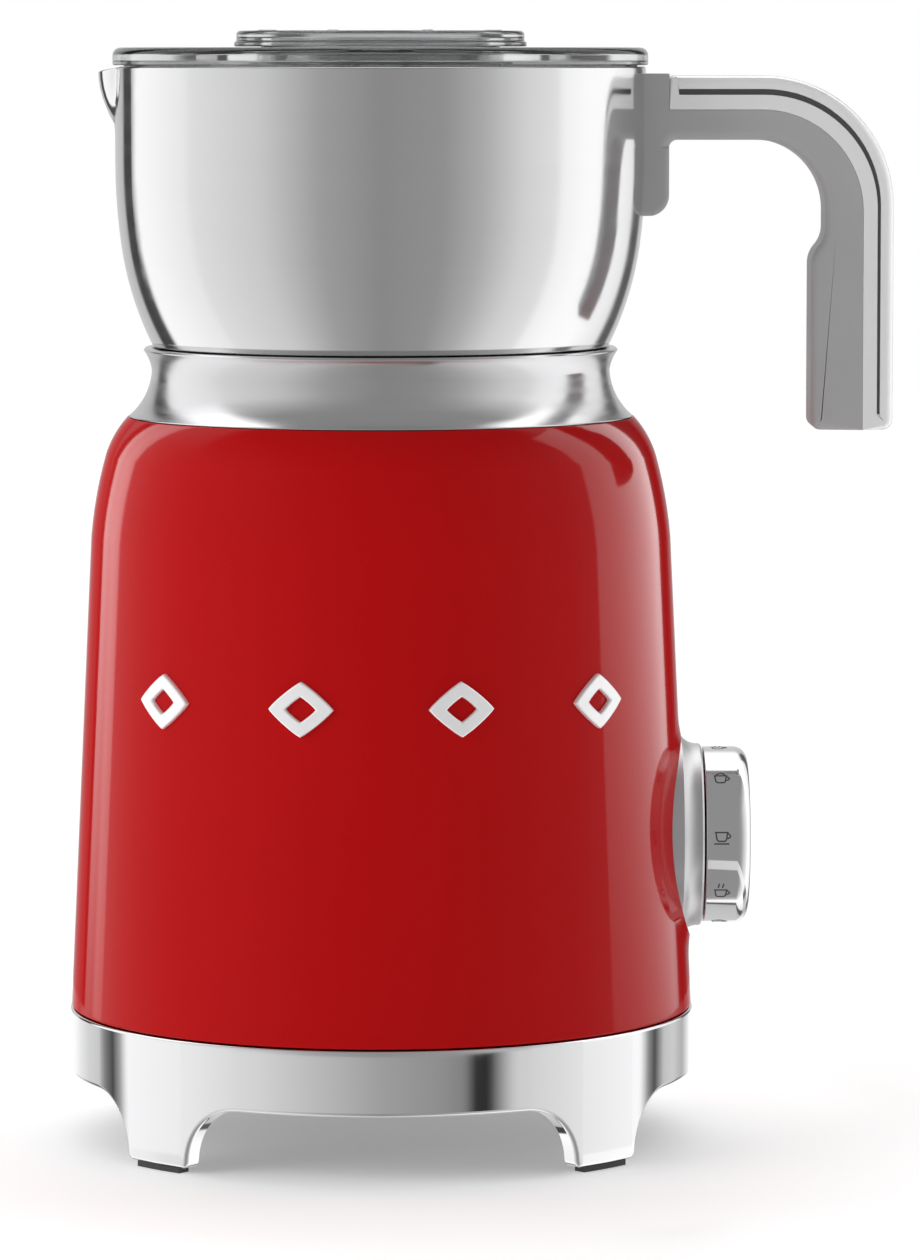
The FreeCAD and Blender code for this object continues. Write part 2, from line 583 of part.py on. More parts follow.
def make_carrier_screws():
    body = new_piece("carrier_screws")
    inner = "column_circle * cos(45 * 1deg)"
    shank = rods(body, [(inner, inner, "screw_shank")], "column_top - 10", "carrier_top")
    head = rods(body, [(inner, inner, "screw_head")], "carrier_top", "carrier_top + screw_head_tall")
    around(body, [shank, head], 4)


def make_ferrite_bars():
    body = new_piece("ferrite_bars")
    bar = block(body, "coil_inner", "coil_outer", "carrier_top", "ferrite_top", "0 - ferrite_width / 2",
                "ferrite_width / 2")
    around(body, [bar], 8)
    body.Placement = FreeCAD.Placement(FreeCAD.Vector(), FreeCAD.Rotation(upright, sizes["ferrite_angle"]))


def make_induction_coil():
    body = new_piece("induction_coil")
    turned(body, [("coil_inner", "coil_low"), ("coil_outer", "coil_low"), ("coil_outer", "coil_top"),
                  ("coil_inner", "coil_top")])


def make_motor_can():
    body = new_piece("motor_can")
    turned(body, [
        ("motor_bore", "motor_low"), ("motor_radius - 1.5", "motor_low"),
        ("motor_radius", "motor_low + 1.5", "1.5"), ("motor_radius", "motor_top - 1"),
        ("motor_radius - 1", "motor_top", "1"), ("motor_boss", "motor_top"), ("motor_boss", "motor_boss_top"),
        ("motor_bore", "motor_boss_top")])


def make_motor_shaft():
    body = new_piece("motor_shaft")
    turned(body, [("0", "shaft_low"), ("shaft_radius", "shaft_low"), ("shaft_radius", "shaft_top - 0.4"),
                  ("shaft_radius - 0.4", "shaft_top"), ("0", "shaft_top")])


def make_motor_bracket():
    body = new_piece("motor_bracket")
    turned(body, [("bracket_hole", "bracket_low"), ("bracket_radius", "bracket_low"),
                  ("bracket_radius", "bracket_top"), ("bracket_hole", "bracket_top")])
    hole = pocket(body, "XY_Plane", "bracket_top + overshoot", "bracket_top - bracket_low + 2 * overshoot",
                  circles=[("post_circle", "0", "isolator_bore")])
    around(body, [hole], 3)


def make_motor_isolators():
    body = new_piece("motor_isolators")
    ring = rods(body, [("post_circle", "0", "post_radius"), ("post_circle", "0", "isolator_bore")],
                "bracket_top", "isolator_top")
    around(body, [ring], 3)


def make_motor_screws():
    body = new_piece("motor_screws")
    shank = rods(body, [("post_circle", "0", "screw_shank")], "bracket_low", "carrier_low - 1")
    head = rods(body, [("post_circle", "0", "screw_head")], "bracket_low - screw_head_tall", "bracket_low")
    around(body, [shank, head], 3)


def make_magnet_carrier():
    body = new_piece("magnet_carrier")
    turned(body, [("shaft_radius", "rotor_hub_low"), ("rotor_hub", "rotor_hub_low"),
                  ("rotor_hub", "rotor_low"),
                  ("rotor_radius", "rotor_low"), ("rotor_radius", "rotor_top - 0.5"),
                  ("rotor_radius - 0.5", "rotor_top"), ("shaft_radius", "rotor_top")])
    cell = pocket(body, "XY_Plane", "rotor_top + overshoot", "rotor_top + overshoot - magnet_low",
                  circles=[("magnet_circle", "0", "magnet_radius")])
    around(body, [cell], 4)


def make_rotor_magnets():
    body = new_piece("rotor_magnets")
    magnet = rods(body, [("magnet_circle", "0", "magnet_radius")], "magnet_low", "rotor_top")
    around(body, [magnet], 4)


def make_sensor_holder():
    body = new_piece("sensor_holder")
    body.setExpression("Placement.Base.y", linked("sensor_place"))
    turned(body, [
        ("0", "holder_low"), ("holder_radius", "holder_low"), ("holder_radius", "carrier_top"),
        ("holder_flange", "carrier_top"), ("holder_flange", "holder_flange_top"),
        ("holder_radius", "holder_flange_top"), ("holder_radius", "holder_top"),
        ("holder_bore", "holder_top"),
        ("holder_bore", "holder_floor"), ("0", "holder_floor")])


def make_sensor_plunger():
    body = new_piece("sensor_plunger")
    body.setExpression("Placement.Base.y", linked("sensor_place"))
    turned(body, [("0", "plunger_low"), ("plunger_stem", "plunger_low"), ("plunger_stem", "plunger_step"),
                  ("plunger_head", "plunger_step"), ("plunger_head", "plunger_top - 0.6"),
                  ("plunger_head - 0.6", "plunger_top", "0.6"), ("0", "plunger_top")])


def make_sensor_spring():
    low = value_of("holder_floor + spring_wire")
    tall = value_of("plunger_low - holder_floor - 2 * spring_wire")
    helix = Part.makeHelix(sizes["spring_pitch"], tall, sizes["spring_radius"])
    start = FreeCAD.Vector(sizes["spring_radius"], 0, 0)
    wire = Part.Wire(Part.makeCircle(sizes["spring_wire"], start, FreeCAD.Vector(0, 1, 0)))
    piece = doc.addObject("Part::Feature", "sensor_spring")
    piece.Label = "sensor_spring"
    piece.Shape = Part.Wire(helix).makePipeShell([wire], True, True)
    place = FreeCAD.Vector(0, sizes["sensor_place"], low)
    piece.Placement = FreeCAD.Placement(place, FreeCAD.Rotation())


# ---------------------------------------------------------------- fan and electronics

def make_fan_frame():
    body = new_piece("fan_frame")
    block(body, "0 - fan_half", "fan_half", "0 - fan_half", "fan_half", "fan_low", "fan_top", "XY_Plane")
    pocket(body, "XY_Plane", "fan_top + overshoot", "fan_top - fan_low + 2 * overshoot",
           circles=[("0", "0", "fan_bore")])
    reach = "fan_bore + 1"
    block(body, f"0 - {reach}", reach, "0 - fan_arm", "fan_arm", "fan_spider", "fan_top", "XY_Plane")
    block(body, "0 - fan_arm", "fan_arm", f"0 - {reach}", reach, "fan_spider", "fan_top", "XY_Plane")
    rods(body, [("0", "0", "fan_hub")], "fan_spider", "fan_top")


def make_fan_rotor():
    body = new_piece("fan_rotor")
    rods(body, [("0", "0", "fan_hub")], "fan_rotor_low", "fan_rotor_top")
    sketch = new_sketch(body, "YZ_Plane", "fan_hub - 1")
    low, high = "fan_rotor_low + 0.3", "fan_rotor_top - 0.3"
    draw_outline(sketch, [("0 - blade_lean - blade_edge", low), ("0 - blade_lean", low),
                          ("blade_lean + blade_edge", high), ("blade_lean", high)])
    blade = padded(body, sketch, "blade_tip - fan_hub")
    around(body, [blade], 7)


def make_power_board():
    body = new_piece("power_board")
    block(body, "0 - board_half", "board_half", "board_low", "board_top", "0 - board_back", "0 - board_front")


def make_capacitors():
    body = new_piece("capacitors")
    places = ["cap_first_z", "cap_first_z + cap_step"]
    rods(body, [("cap_across", z, "cap_radius") for z in places], "0 - board_front",
         "0 - board_front + cap_length", "XZ_Plane")


def make_choke():
    piece = doc.addObject("Part::Torus", "choke")
    piece.Label = "choke"
    piece.setExpression("Radius1", linked("choke_ring"))
    piece.setExpression("Radius2", linked("choke_wire"))
    piece.Placement = FreeCAD.Placement(FreeCAD.Vector(), FreeCAD.Rotation(FreeCAD.Vector(1, 0, 0), 90))
    piece.setExpression("Placement.Base.x", linked("choke_across"))
    piece.setExpression("Placement.Base.y", linked("board_front - choke_wire"))
    piece.setExpression("Placement.Base.z", linked("choke_z"))


def make_heat_sink():
    body = new_piece("heat_sink")
    block(body, "sink_left", "sink_right", "sink_low", "sink_top", "0 - sink_back", "0 - sink_plate")
    for number in range(5):
        side = f"sink_left + {number} * fin_step"
        block(body, side, f"{side} + fin_wall", "sink_low", "sink_top", "0 - sink_plate - overshoot",
              "0 - sink_front")


def make_board_clips():
    body = new_piece("board_clips")
    for middle in ("0 - clip_across", "clip_across"):
        left, right = f"{middle} - clip_half", f"{middle} + clip_half"
        block(body, left, right, "chassis_top", "clip_top", "0 - board_back - clip_wall", "0 - board_back")
        block(body, left, right, "chassis_top", "chassis_top + clip_wall", "0 - board_back - clip_depth",
              "0 - board_back")


def make_board_screws():
    body = new_piece("board_screws")
    places = [("0 - clip_across", "clip_top - 4"), ("clip_across", "clip_top - 4")]
    rods(body, [(x, z, "screw_head") for x, z in places], "0 - board_front",
         "0 - board_front + screw_head_tall", "XZ_Plane")


# ---------------------------------------------------------------- jug

def jug_line(inset):
    """Joints of the jug wall's arcs, from the straight part down to the floor, moved inwards."""
    radii = [f"(jug_upper_arc - {inset})", f"(jug_lower_arc - {inset})", f"(jug_corner - {inset})"]
    leans = ["0", "jug_upper_lean", "jug_lower_lean", "90"]
    points = [(f"jug_radius - {inset}", "jug_break")]
    for place, radius in enumerate(radii):
        points.append(leaning(points[-1], radius, leans[place], leans[place + 1]))
    return points, radii


def jug_outline(inset):
    """Line from the floor's edge up to the rim."""
    points, radii = jug_line(inset)
    line = [points[3], (*points[2], radii[2]), (*points[1], radii[1]), (*points[0], radii[0])]
    return line + [(f"jug_radius - {inset}", "jug_rim")]


def spout_turn(body, kind, inset):
    """Turn the spout's line about the spout's own upright axis."""
    sketch = new_sketch(body, "XZ_Plane")
    low = f"spout_centre - spout_low_radius + {inset}"
    high = f"spout_centre - spout_top_radius + {inset}"
    draw_outline(sketch, [("spout_centre", "spout_low"), ("spout_centre", "jug_rim"), (high, "jug_rim"),
                          (low, "spout_low", "spout_curve")])
    middle = value_of("spout_centre")
    line = Part.LineSegment(FreeCAD.Vector(middle, 0, 0), FreeCAD.Vector(middle, 10, 0))
    axis = sketch.addGeometry(line, True)
    pin_point(sketch, axis, 1, "spout_centre", "0")
    pin_point(sketch, axis, 2, "spout_centre", "10")
    feature = body.newObject(kind, f"{body.Name}_spout")
    feature.Profile = sketch
    feature.ReferenceAxis = (sketch, ["Axis0"])
    feature.Angle = 360
    body.Tip = feature
    doc.recompute()


def make_jug_body():
    body = new_piece("jug_body")
    outer = jug_outline("0")
    turned(body, [("0", "jug_floor"), ("disc_step", "jug_floor"), ("disc_step", outer[0][1])] + outer
           + [("0", "jug_rim")])
    spout_turn(body, "PartDesign::Revolution", "0")
    inner = jug_outline("jug_wall")
    edge = "disc_step + jug_wall"
    floor = "jug_floor + jug_wall"
    top = "jug_rim + overshoot"
    inner[-1] = ("jug_radius - jug_wall", top)
    grooved(body, [("0", floor), (edge, floor), (edge, inner[0][1])] + inner + [("0", top)])
    spout_turn(body, "PartDesign::Groove", "jug_wall")


def make_jug_base_plate():
    body = new_piece("jug_base_plate")
    turned(body, [("0", "disc_low"), ("disc_radius - 0.6", "disc_low"),
                  ("disc_radius", "disc_low + 0.6", "0.6"), ("disc_radius", "jug_floor"), ("0", "jug_floor")])


def make_whisk_pin():
    body = new_piece("whisk_pin")
    turned(body, [("0", "jug_floor + jug_wall"), ("pin_radius", "jug_floor + jug_wall"),
                  ("pin_radius", "pin_top - 1"), ("pin_radius - 1", "pin_top", "1"), ("0", "pin_top")])


def clear_jug_wall(body):
    """Cut away what would reach into the jug's wall."""
    points, radii = jug_line("0")
    middle, top = "disc_radius / 2", "plate_top + overshoot"
    grooved(body, [(middle, points[1][1]), points[1], (*points[0], radii[0]), ("jug_radius", top),
                   (middle, top)])


def round_sides(body, chosen):
    """Round the long edges on both sides of a handle piece."""
    doc.recompute()
    names = []
    for number, edge in enumerate(body.Shape.Edges, 1):
        middle = edge.valueAt((edge.FirstParameter + edge.LastParameter) / 2)
        flat = abs(edge.BoundBox.YMax - edge.BoundBox.YMin) < small
        if flat and abs(abs(middle.y) - sizes["handle_half"]) < small and chosen(middle):
            names.append(f"Edge{number}")
    solid = body.Tip
    feature = body.newObject("PartDesign::Fillet", f"{body.Name}_round")
    feature.Base = (solid, names)
    feature.setExpression("Radius", linked("handle_edge"))
    body.Tip = feature
    doc.recompute()


def make_handle_core():
    body = new_piece("handle_core")
    sketch = new_sketch(body, "XZ_Plane")
    bulge_x, bulge_z = "(grip_neck + grip_inner) / 2", "(bulge_low + bulge_high) / 2"
    root = "jug_radius - 4"
    draw_outline(sketch, [
        (root, "plate_low"), ("plate_outer_x - plate_corner", "plate_low"),
        ("plate_outer_x", "plate_low + plate_corner", "plate_corner"),
        ("plate_outer_x", "arm_bottom - plate_fillet"),
        ("plate_outer_x + plate_fillet", "arm_bottom", "-plate_fillet"), ("inner_turn_x", "arm_bottom"),
        ("grip_neck", "arm_bottom - inner_arc", "-inner_arc"), ("grip_neck", "bulge_high"),
        (bulge_x, bulge_z, "-bulge_arc"), ("grip_inner", "bulge_low", "bulge_arc"),
        ("grip_inner", "grip_bottom + grip_corner"), ("grip_inner + grip_corner", "grip_bottom",
                                                      "grip_corner"),
        ("grip_seam", "grip_bottom"), ("grip_seam", "arm_seam - seam_arc"),
        ("seam_turn_x", "arm_seam", "seam_arc"),
        ("plate_outer_x", "arm_seam"), ("plate_outer_x", "plate_top"), (root, "plate_top")])
    padded(body, sketch, "2 * handle_half", both=True)
    seam_x, seam_z = sizes["grip_seam"] - 0.1, sizes["arm_seam"] - 0.1
    turn_x, turn_z = sizes["seam_turn_x"], sizes["arm_seam"] - sizes["seam_arc"]
    near_seam = sizes["seam_arc"] - 0.1

    def inner_side(middle):
        on_turn = middle.x > turn_x and middle.z > turn_z
        past = math.hypot(middle.x - turn_x, middle.z - turn_z) > near_seam
        on_plate = middle.x < sizes["plate_outer_x"] - 0.1
        return not on_plate and middle.x < seam_x and middle.z < seam_z and not (on_turn and past)

    round_sides(body, inner_side)
    clear_jug_wall(body)
    side, low, high = "tongue_half + 0.1", "tongue_low - 0.1", "tongue_top + 0.1"
    pocket(body, "YZ_Plane", "tongue_outer + 0.1", "plate_outer_x - jug_radius + 4", corners=[
        (f"0 - {side.replace('+', '-')}", low), (side, low), (side, high),
        (f"0 - {side.replace('+', '-')}", high)])
    bolts = [("0", "bolt_first_z"), ("0", "bolt_first_z + bolt_step")]
    front = "plate_outer_x + overshoot"
    pocket(body, "YZ_Plane", front, "plate_outer_x - tongue_outer + 2 * overshoot",
           circles=[(y, z, "bolt_shank + 0.1") for y, z in bolts])
    pocket(body, "YZ_Plane", front, "plate_outer_x + overshoot - bolt_seat",
           circles=[(y, z, "bolt_head + 0.1") for y, z in bolts])


def make_handle_trim():
    body = new_piece("handle_trim")
    sketch = new_sketch(body, "XZ_Plane")
    draw_outline(sketch, [
        ("plate_outer_x", "arm_seam"), ("seam_turn_x", "arm_seam"),
        ("grip_seam", "arm_seam - seam_arc", "-seam_arc"), ("grip_seam", "grip_bottom"),
        ("grip_outer - grip_corner", "grip_bottom"),
        ("grip_outer", "grip_bottom + grip_corner", "grip_corner"),
        ("grip_outer", "arm_top - outer_arc"), ("outer_turn_x", "arm_top", "outer_arc"),
        ("plate_outer_x + 1.5", "arm_top"), ("plate_outer_x", "arm_top - 1.5", "1.5")])
    padded(body, sketch, "2 * handle_half", both=True)
    seam_x, seam_z = sizes["grip_seam"] + 0.1, sizes["arm_seam"] + 0.1
    turn_x, turn_z = sizes["seam_turn_x"], sizes["arm_seam"] - sizes["seam_arc"]
    past_seam = sizes["seam_arc"] + 0.1

    def outer_side(middle):
        on_turn = middle.x > turn_x and middle.z > turn_z
        past = math.hypot(middle.x - turn_x, middle.z - turn_z) > past_seam
        return middle.x > seam_x or middle.z > seam_z or (on_turn and past)

    round_sides(body, outer_side)


def make_handle_bracket():
    body = new_piece("handle_bracket")
    block(body, "0 - tongue_half", "tongue_half", "tongue_low", "tongue_top", "tongue_inner - 2",
          "tongue_outer",
          "YZ_Plane")
    clear_jug_wall(body)
    bolts = [("0", "bolt_first_z", "bolt_shank"), ("0", "bolt_first_z + bolt_step", "bolt_shank")]
    pocket(body, "YZ_Plane", "tongue_outer + 1", "tongue_outer + 1 - tongue_inner - 0.2", circles=bolts)


def make_handle_screws():
    body = new_piece("handle_screws")
    bolts = [("0", "bolt_first_z"), ("0", "bolt_first_z + bolt_step")]
    rods(body, [(y, z, "bolt_shank") for y, z in bolts], "tongue_inner + 0.2", "bolt_seat", "YZ_Plane")
    rods(body, [(y, z, "bolt_head") for y, z in bolts], "bolt_seat", "plate_outer_x - 0.2", "YZ_Plane")


# ---------------------------------------------------------------- whisk

def make_whisk_disc():
    body = new_piece("whisk_disc")
    turned(body, [("bush_outer", "whisk_low"), ("whisk_radius", "whisk_low"), ("whisk_radius", "whisk_top"),
                  ("whisk_hub", "whisk_top"), ("whisk_hub - 1.5", "whisk_hub_top - 1.5"),
                  ("whisk_hub - 3", "whisk_hub_top", "1.8"), ("0", "whisk_hub_top"), ("0", "pin_top + 1"),
                  ("bush_outer", "pin_top + 1")])
    doc.recompute()
    cell = pocket(body, "XY_Plane", "whisk_top + overshoot", "whisk_top + overshoot - cell_low",
                  circles=[("cell_circle", "0", "cell_radius")])
    around(body, [cell], 4)


def make_whisk_magnets():
    body = new_piece("whisk_magnets")
    magnet = rods(body, [("cell_circle", "0", "cell_radius")], "cell_low", "whisk_top")
    around(body, [magnet], 4)


def make_whisk_bush():
    body = new_piece("whisk_bush")
    turned(body, [("bush_inner", "whisk_low"), ("bush_outer", "whisk_low"), ("bush_outer", "bush_top"),
                  ("bush_inner", "bush_top")])


def make_whisk_ring():
    piece = doc.addObject("Part::Torus", "whisk_ring")
    piece.Label = "whisk_ring"
    piece.setExpression("Radius1", linked("whip_ring"))
    piece.setExpression("Radius2", linked("whip_wire"))
    piece.setExpression("Placement.Base.z", linked("whip_z"))


# ---------------------------------------------------------------- lid and measuring cap

def make_lid_shell():
    body = new_piece("lid_shell")
    turned(body, [
        ("neck_inner", "neck_low"), ("neck_outer", "neck_low"), ("neck_outer", "lid_plate"),
        ("skirt_inner", "lid_plate"), ("skirt_inner", "skirt_low"), ("skirt_outer", "skirt_low"),
        ("skirt_outer", "lid_low"), ("lid_radius", "lid_low"), ("lid_radius", "lid_top - lid_round"),
        ("lid_radius - lid_round", "lid_top", "lid_round"), ("lid_dish_outer + 1", "lid_top"),
        ("lid_dish_outer", "lid_dish"), ("lid_dish_inner", "lid_dish"), ("neck_outer + 1", "neck_top"),
        ("neck_inner", "neck_top")])


def make_lid_gasket():
    body = new_piece("lid_gasket")
    turned(body, [("skirt_outer", "seal_low"), ("seal_outer", "seal_low + 0.6"),
                  ("seal_outer", "seal_top - 0.6"), ("skirt_outer", "seal_top")])


def make_measuring_cap():
    body = new_piece("measuring_cap")
    turned(body, [
        ("0", "cup_roof"), ("cup_plug_inner", "cup_roof"), ("cup_plug_inner", "cup_plug_low"),
        ("cup_plug_outer", "cup_plug_low"), ("cup_plug_outer", "cup_low"), ("cup_flange", "cup_low"),
        ("cup_flange", "cup_low + 0.9"), ("cup_radius", "cup_low + 1.2"), ("cup_radius", "cup_top - 0.9"),
        ("cup_radius - 0.9", "cup_top", "0.9"), ("0", "cup_top")])


def make_cap_seal():
    body = new_piece("cap_seal")
    turned(body, [("cup_plug_outer", "bead_low"), ("cup_bead", "bead_low + 0.5"),
                  ("cup_bead", "bead_top - 0.5"), ("cup_plug_outer", "bead_top")])


# ---------------------------------------------------------------- build, check and write

makers = [
    make_foot_ring, make_foot_pads, make_bottom_cover, make_bottom_screws, make_chassis, make_body_shell,
    make_neck_collar, make_front_badges, make_cord_grommet, make_knob_escutcheon, make_knob_ring,
    make_knob_guide, make_led_ring, make_start_button, make_knob_board, make_knob_encoder, make_tact_switch,
    make_seat_plate, make_seat_gasket, make_coil_carrier, make_carrier_screws, make_ferrite_bars,
    make_induction_coil, make_motor_can, make_motor_shaft, make_motor_bracket, make_motor_isolators,
    make_motor_screws, make_magnet_carrier, make_rotor_magnets, make_sensor_holder, make_sensor_plunger,
    make_sensor_spring, make_fan_frame, make_fan_rotor, make_power_board, make_capacitors, make_choke,
    make_heat_sink, make_board_clips, make_board_screws, make_jug_body, make_jug_base_plate, make_whisk_pin,
    make_handle_core, make_handle_trim, make_handle_bracket, make_handle_screws, make_whisk_disc,
    make_whisk_magnets, make_whisk_bush, make_whisk_ring, make_lid_shell, make_lid_gasket, make_measuring_cap,
    make_cap_seal,
]
for make in makers:
    make()
doc.recompute()

nodes = [piece for piece in doc.Objects
         if piece.TypeId in ("PartDesign::Body", "Part::Torus") or piece.Name == "sensor_spring"]
for thing in doc.Objects:
    if "Invalid" in thing.State or "Error" in thing.State:
        raise RuntimeError(f"{thing.Name} failed: {thing.State}")
for piece in nodes:
    if piece.Shape.isNull() or not piece.Shape.isValid():
        raise RuntimeError(f"{piece.Label} has no valid shape")

os.makedirs("parts", exist_ok=True)
for piece in nodes:
    piece.Shape.exportStep(f"parts/{piece.Label}.step")
print(f"{len(nodes)} sub-parts written")
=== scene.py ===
import json
import math

import bmesh
import bpy
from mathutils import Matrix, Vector


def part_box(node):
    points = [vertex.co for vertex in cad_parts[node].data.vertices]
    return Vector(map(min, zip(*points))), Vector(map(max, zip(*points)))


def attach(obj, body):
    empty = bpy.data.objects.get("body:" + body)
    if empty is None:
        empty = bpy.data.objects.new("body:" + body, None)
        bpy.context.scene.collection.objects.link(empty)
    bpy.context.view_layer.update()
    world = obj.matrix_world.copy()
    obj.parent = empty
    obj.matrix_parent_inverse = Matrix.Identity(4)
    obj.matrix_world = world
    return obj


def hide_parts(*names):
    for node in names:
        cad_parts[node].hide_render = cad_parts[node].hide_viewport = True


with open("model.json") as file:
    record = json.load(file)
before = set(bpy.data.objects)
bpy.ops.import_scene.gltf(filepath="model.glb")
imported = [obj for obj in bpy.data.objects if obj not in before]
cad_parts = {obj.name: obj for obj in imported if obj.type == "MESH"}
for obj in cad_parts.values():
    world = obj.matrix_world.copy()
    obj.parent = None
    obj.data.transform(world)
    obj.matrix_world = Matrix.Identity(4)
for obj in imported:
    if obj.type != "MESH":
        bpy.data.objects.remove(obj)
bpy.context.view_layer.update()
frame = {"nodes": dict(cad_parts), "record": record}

mm = 0.001
slotOf = {part["node"]: part["material_slot"] for part in frame["record"]["subparts"]}


def extent(node):    # lowest and highest corner of a CAD node, in millimetres
    low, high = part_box(node)
    return Vector(low) / mm, Vector(high) / mm


def middleOf(node):    # height of a CAD node's middle
    low, high = extent(node)
    return (low.z + high.z) / 2


# finishes: patch, grain and relief are in mm, worn is how much the edges take on another colour
looks = {
    "red_shell": {"colour": (0.42, 0.004, 0.005), "spread": 0.04, "patch": 45, "grain": 3.2,
                  "relief": 0.003, "rough": (0.05, 0.09), "worn": (0.1, (0.55, 0.05, 0.04)),
                  "glossFade": (0.68, 0.77), "sockets": {"IOR": 1.17}},
    "chrome": {"colour": (0.8, 0.8, 0.81), "spread": 0.02, "patch": 25, "grain": 5.0, "relief": 0.001,
               "rough": (0.035, 0.075), "worn": (0.15, (0.9, 0.9, 0.9)), "metal": 1.0},
    "silver_trim": {"colour": (0.93, 0.93, 0.935), "spread": 0.01, "patch": 20, "grain": 1.5,
                    "relief": 0.0015, "rough": (0.12, 0.2), "worn": (0.15, (0.96, 0.96, 0.96)),
                    "metal": 0.35, "sockets": {"IOR": 1.5}},
    "satin_metal": {"colour": (0.68, 0.68, 0.69), "spread": 0.03, "patch": 14, "grain": 0.5,
                    "relief": 0.0012, "rough": (0.15, 0.24), "stretch": (1, 1, 9),
                    "worn": (0.15, (0.85, 0.85, 0.85)), "metal": 1.0},
    "soft_metal": {"colour": (0.66, 0.66, 0.665), "spread": 0.02, "patch": 14, "grain": 0.5,
                   "relief": 0.0012, "rough": (0.34, 0.42), "worn": (0.1, (0.85, 0.85, 0.85)),
                   "metal": 1.0},
    "stainless": {"colour": (0.76, 0.76, 0.765), "spread": 0.02, "patch": 30, "grain": 0.8,
                  "relief": 0.0006, "rough": (0.08, 0.13), "stretch": (1, 1, 7),
                  "worn": (0.1, (0.9, 0.9, 0.9)), "metal": 1.0},
    "grey_plastic": {"colour": (0.37, 0.37, 0.375), "spread": 0.04, "patch": 18, "grain": 0.45,
                     "relief": 0.012, "rough": (0.38, 0.5), "worn": (0.2, (0.5, 0.5, 0.5))},
    "clear_plastic": {"colour": (0.64, 0.65, 0.65), "spread": 0.01, "patch": 40, "grain": 6.0,
                      "relief": 0.0015, "rough": (0.015, 0.04),
                      "sockets": {"IOR": 1.49, "Transmission Weight": 1.0}},
    "silicone": {"colour": (0.55, 0.56, 0.56), "spread": 0.05, "patch": 12, "grain": 0.3, "relief": 0.006,
                 "rough": (0.45, 0.58), "worn": (0.05, (0.7, 0.7, 0.7)),
                 "sockets": {"Subsurface Weight": 0.15, "Subsurface Scale": 0.001}},
    "black_plastic": {"colour": (0.03, 0.03, 0.031), "spread": 0.12, "patch": 20, "grain": 0.5,
                      "relief": 0.02, "rough": (0.42, 0.58), "worn": (0.3, (0.09, 0.09, 0.09))},
    "button_face": {"colour": (0.6, 0.6, 0.61), "spread": 0.03, "patch": 8, "grain": 0.3, "relief": 0.002,
                    "rough": (0.22, 0.32), "worn": (0.15, (0.8, 0.8, 0.8)), "metal": 0.85},
    "light_ring": {"colour": (0.88, 0.89, 0.89), "spread": 0.02, "patch": 8, "grain": 0.3, "relief": 0.003,
                   "rough": (0.3, 0.4), "sockets": {"Transmission Weight": 0.4, "IOR": 1.49}},
    "rubber": {"colour": (0.03, 0.03, 0.03), "spread": 0.12, "patch": 10, "grain": 0.35, "relief": 0.02,
               "rough": (0.7, 0.85), "worn": (0.3, (0.08, 0.08, 0.08))},
    "steel": {"colour": (0.55, 0.55, 0.56), "spread": 0.06, "patch": 9, "grain": 0.6, "relief": 0.003,
              "rough": (0.25, 0.38), "worn": (0.2, (0.75, 0.75, 0.75)), "metal": 1.0},
    "magnet": {"colour": (0.5, 0.5, 0.51), "spread": 0.05, "patch": 6, "grain": 0.8, "relief": 0.003,
               "rough": (0.18, 0.28), "worn": (0.25, (0.7, 0.7, 0.7)), "metal": 1.0},
    "copper": {"colour": (0.7, 0.28, 0.11), "spread": 0.08, "patch": 7, "grain": 0.6, "relief": 0.004,
               "rough": (0.25, 0.36), "worn": (0.15, (0.85, 0.5, 0.3)), "metal": 1.0},
    "ferrite": {"colour": (0.055, 0.055, 0.06), "spread": 0.15, "patch": 4, "grain": 0.25, "relief": 0.03,
                "rough": (0.6, 0.75), "worn": (0.3, (0.14, 0.14, 0.14))},
    "aluminium": {"colour": (0.72, 0.72, 0.73), "spread": 0.04, "patch": 9, "grain": 0.5, "relief": 0.003,
                  "rough": (0.28, 0.4), "stretch": (1, 1, 0.12), "worn": (0.2, (0.85, 0.85, 0.85)),
                  "metal": 1.0},
    "circuit_board": {"colour": (0.02, 0.15, 0.06), "spread": 0.15, "patch": 3, "grain": 0.4,
                      "relief": 0.006, "rough": (0.3, 0.42), "worn": (0.2, (0.25, 0.27, 0.12))},
    "bronze": {"colour": (0.55, 0.35, 0.16), "spread": 0.08, "patch": 3, "grain": 0.25, "relief": 0.01,
               "rough": (0.38, 0.5), "worn": (0.2, (0.7, 0.5, 0.3)), "metal": 1.0},
    # print: real print on the dial, and also the painted dark reflection line on the handle trim
    "print": {"colour": (0.045, 0.045, 0.048), "spread": 0.1, "patch": 3, "grain": 0.2, "relief": 0.004,
              "rough": (0.45, 0.6), "worn": (0.2, (0.12, 0.12, 0.12))},
}
finishRange = {"patchy": (0.3, 0.7), "worn": (0.52, 0.60), "gloss": (0.5, 0.03)}


def noiseOf(tree, vector, size, detail):    # noise whose patches are about size mm across
    noise = tree.nodes.new("ShaderNodeTexNoise")
    noise.inputs["Scale"].default_value = 1 / (size * mm)
    noise.inputs["Detail"].default_value = detail
    tree.links.new(vector, noise.inputs["Vector"])
    return noise.outputs["Fac"]


def rangeOf(tree, value, fromLow, fromHigh, toLow, toHigh):
    spread = tree.nodes.new("ShaderNodeMapRange")
    limits = {"From Min": fromLow, "From Max": fromHigh, "To Min": toLow, "To Max": toHigh}
    for socket, number in limits.items():
        spread.inputs[socket].default_value = number
    tree.links.new(value, spread.inputs["Value"])
    return spread.outputs["Result"]


def mixOf(tree, factor, first, second):    # colour between two, each a colour or another node's output
    mix = tree.nodes.new("ShaderNodeMix")
    mix.data_type = "RGBA"
    tree.links.new(factor, mix.inputs[0])
    for socket, colour in ((mix.inputs[6], first), (mix.inputs[7], second)):
        if isinstance(colour, tuple):
            socket.default_value = (*colour, 1)
        else:
            tree.links.new(colour, socket)
    return mix.outputs[2]


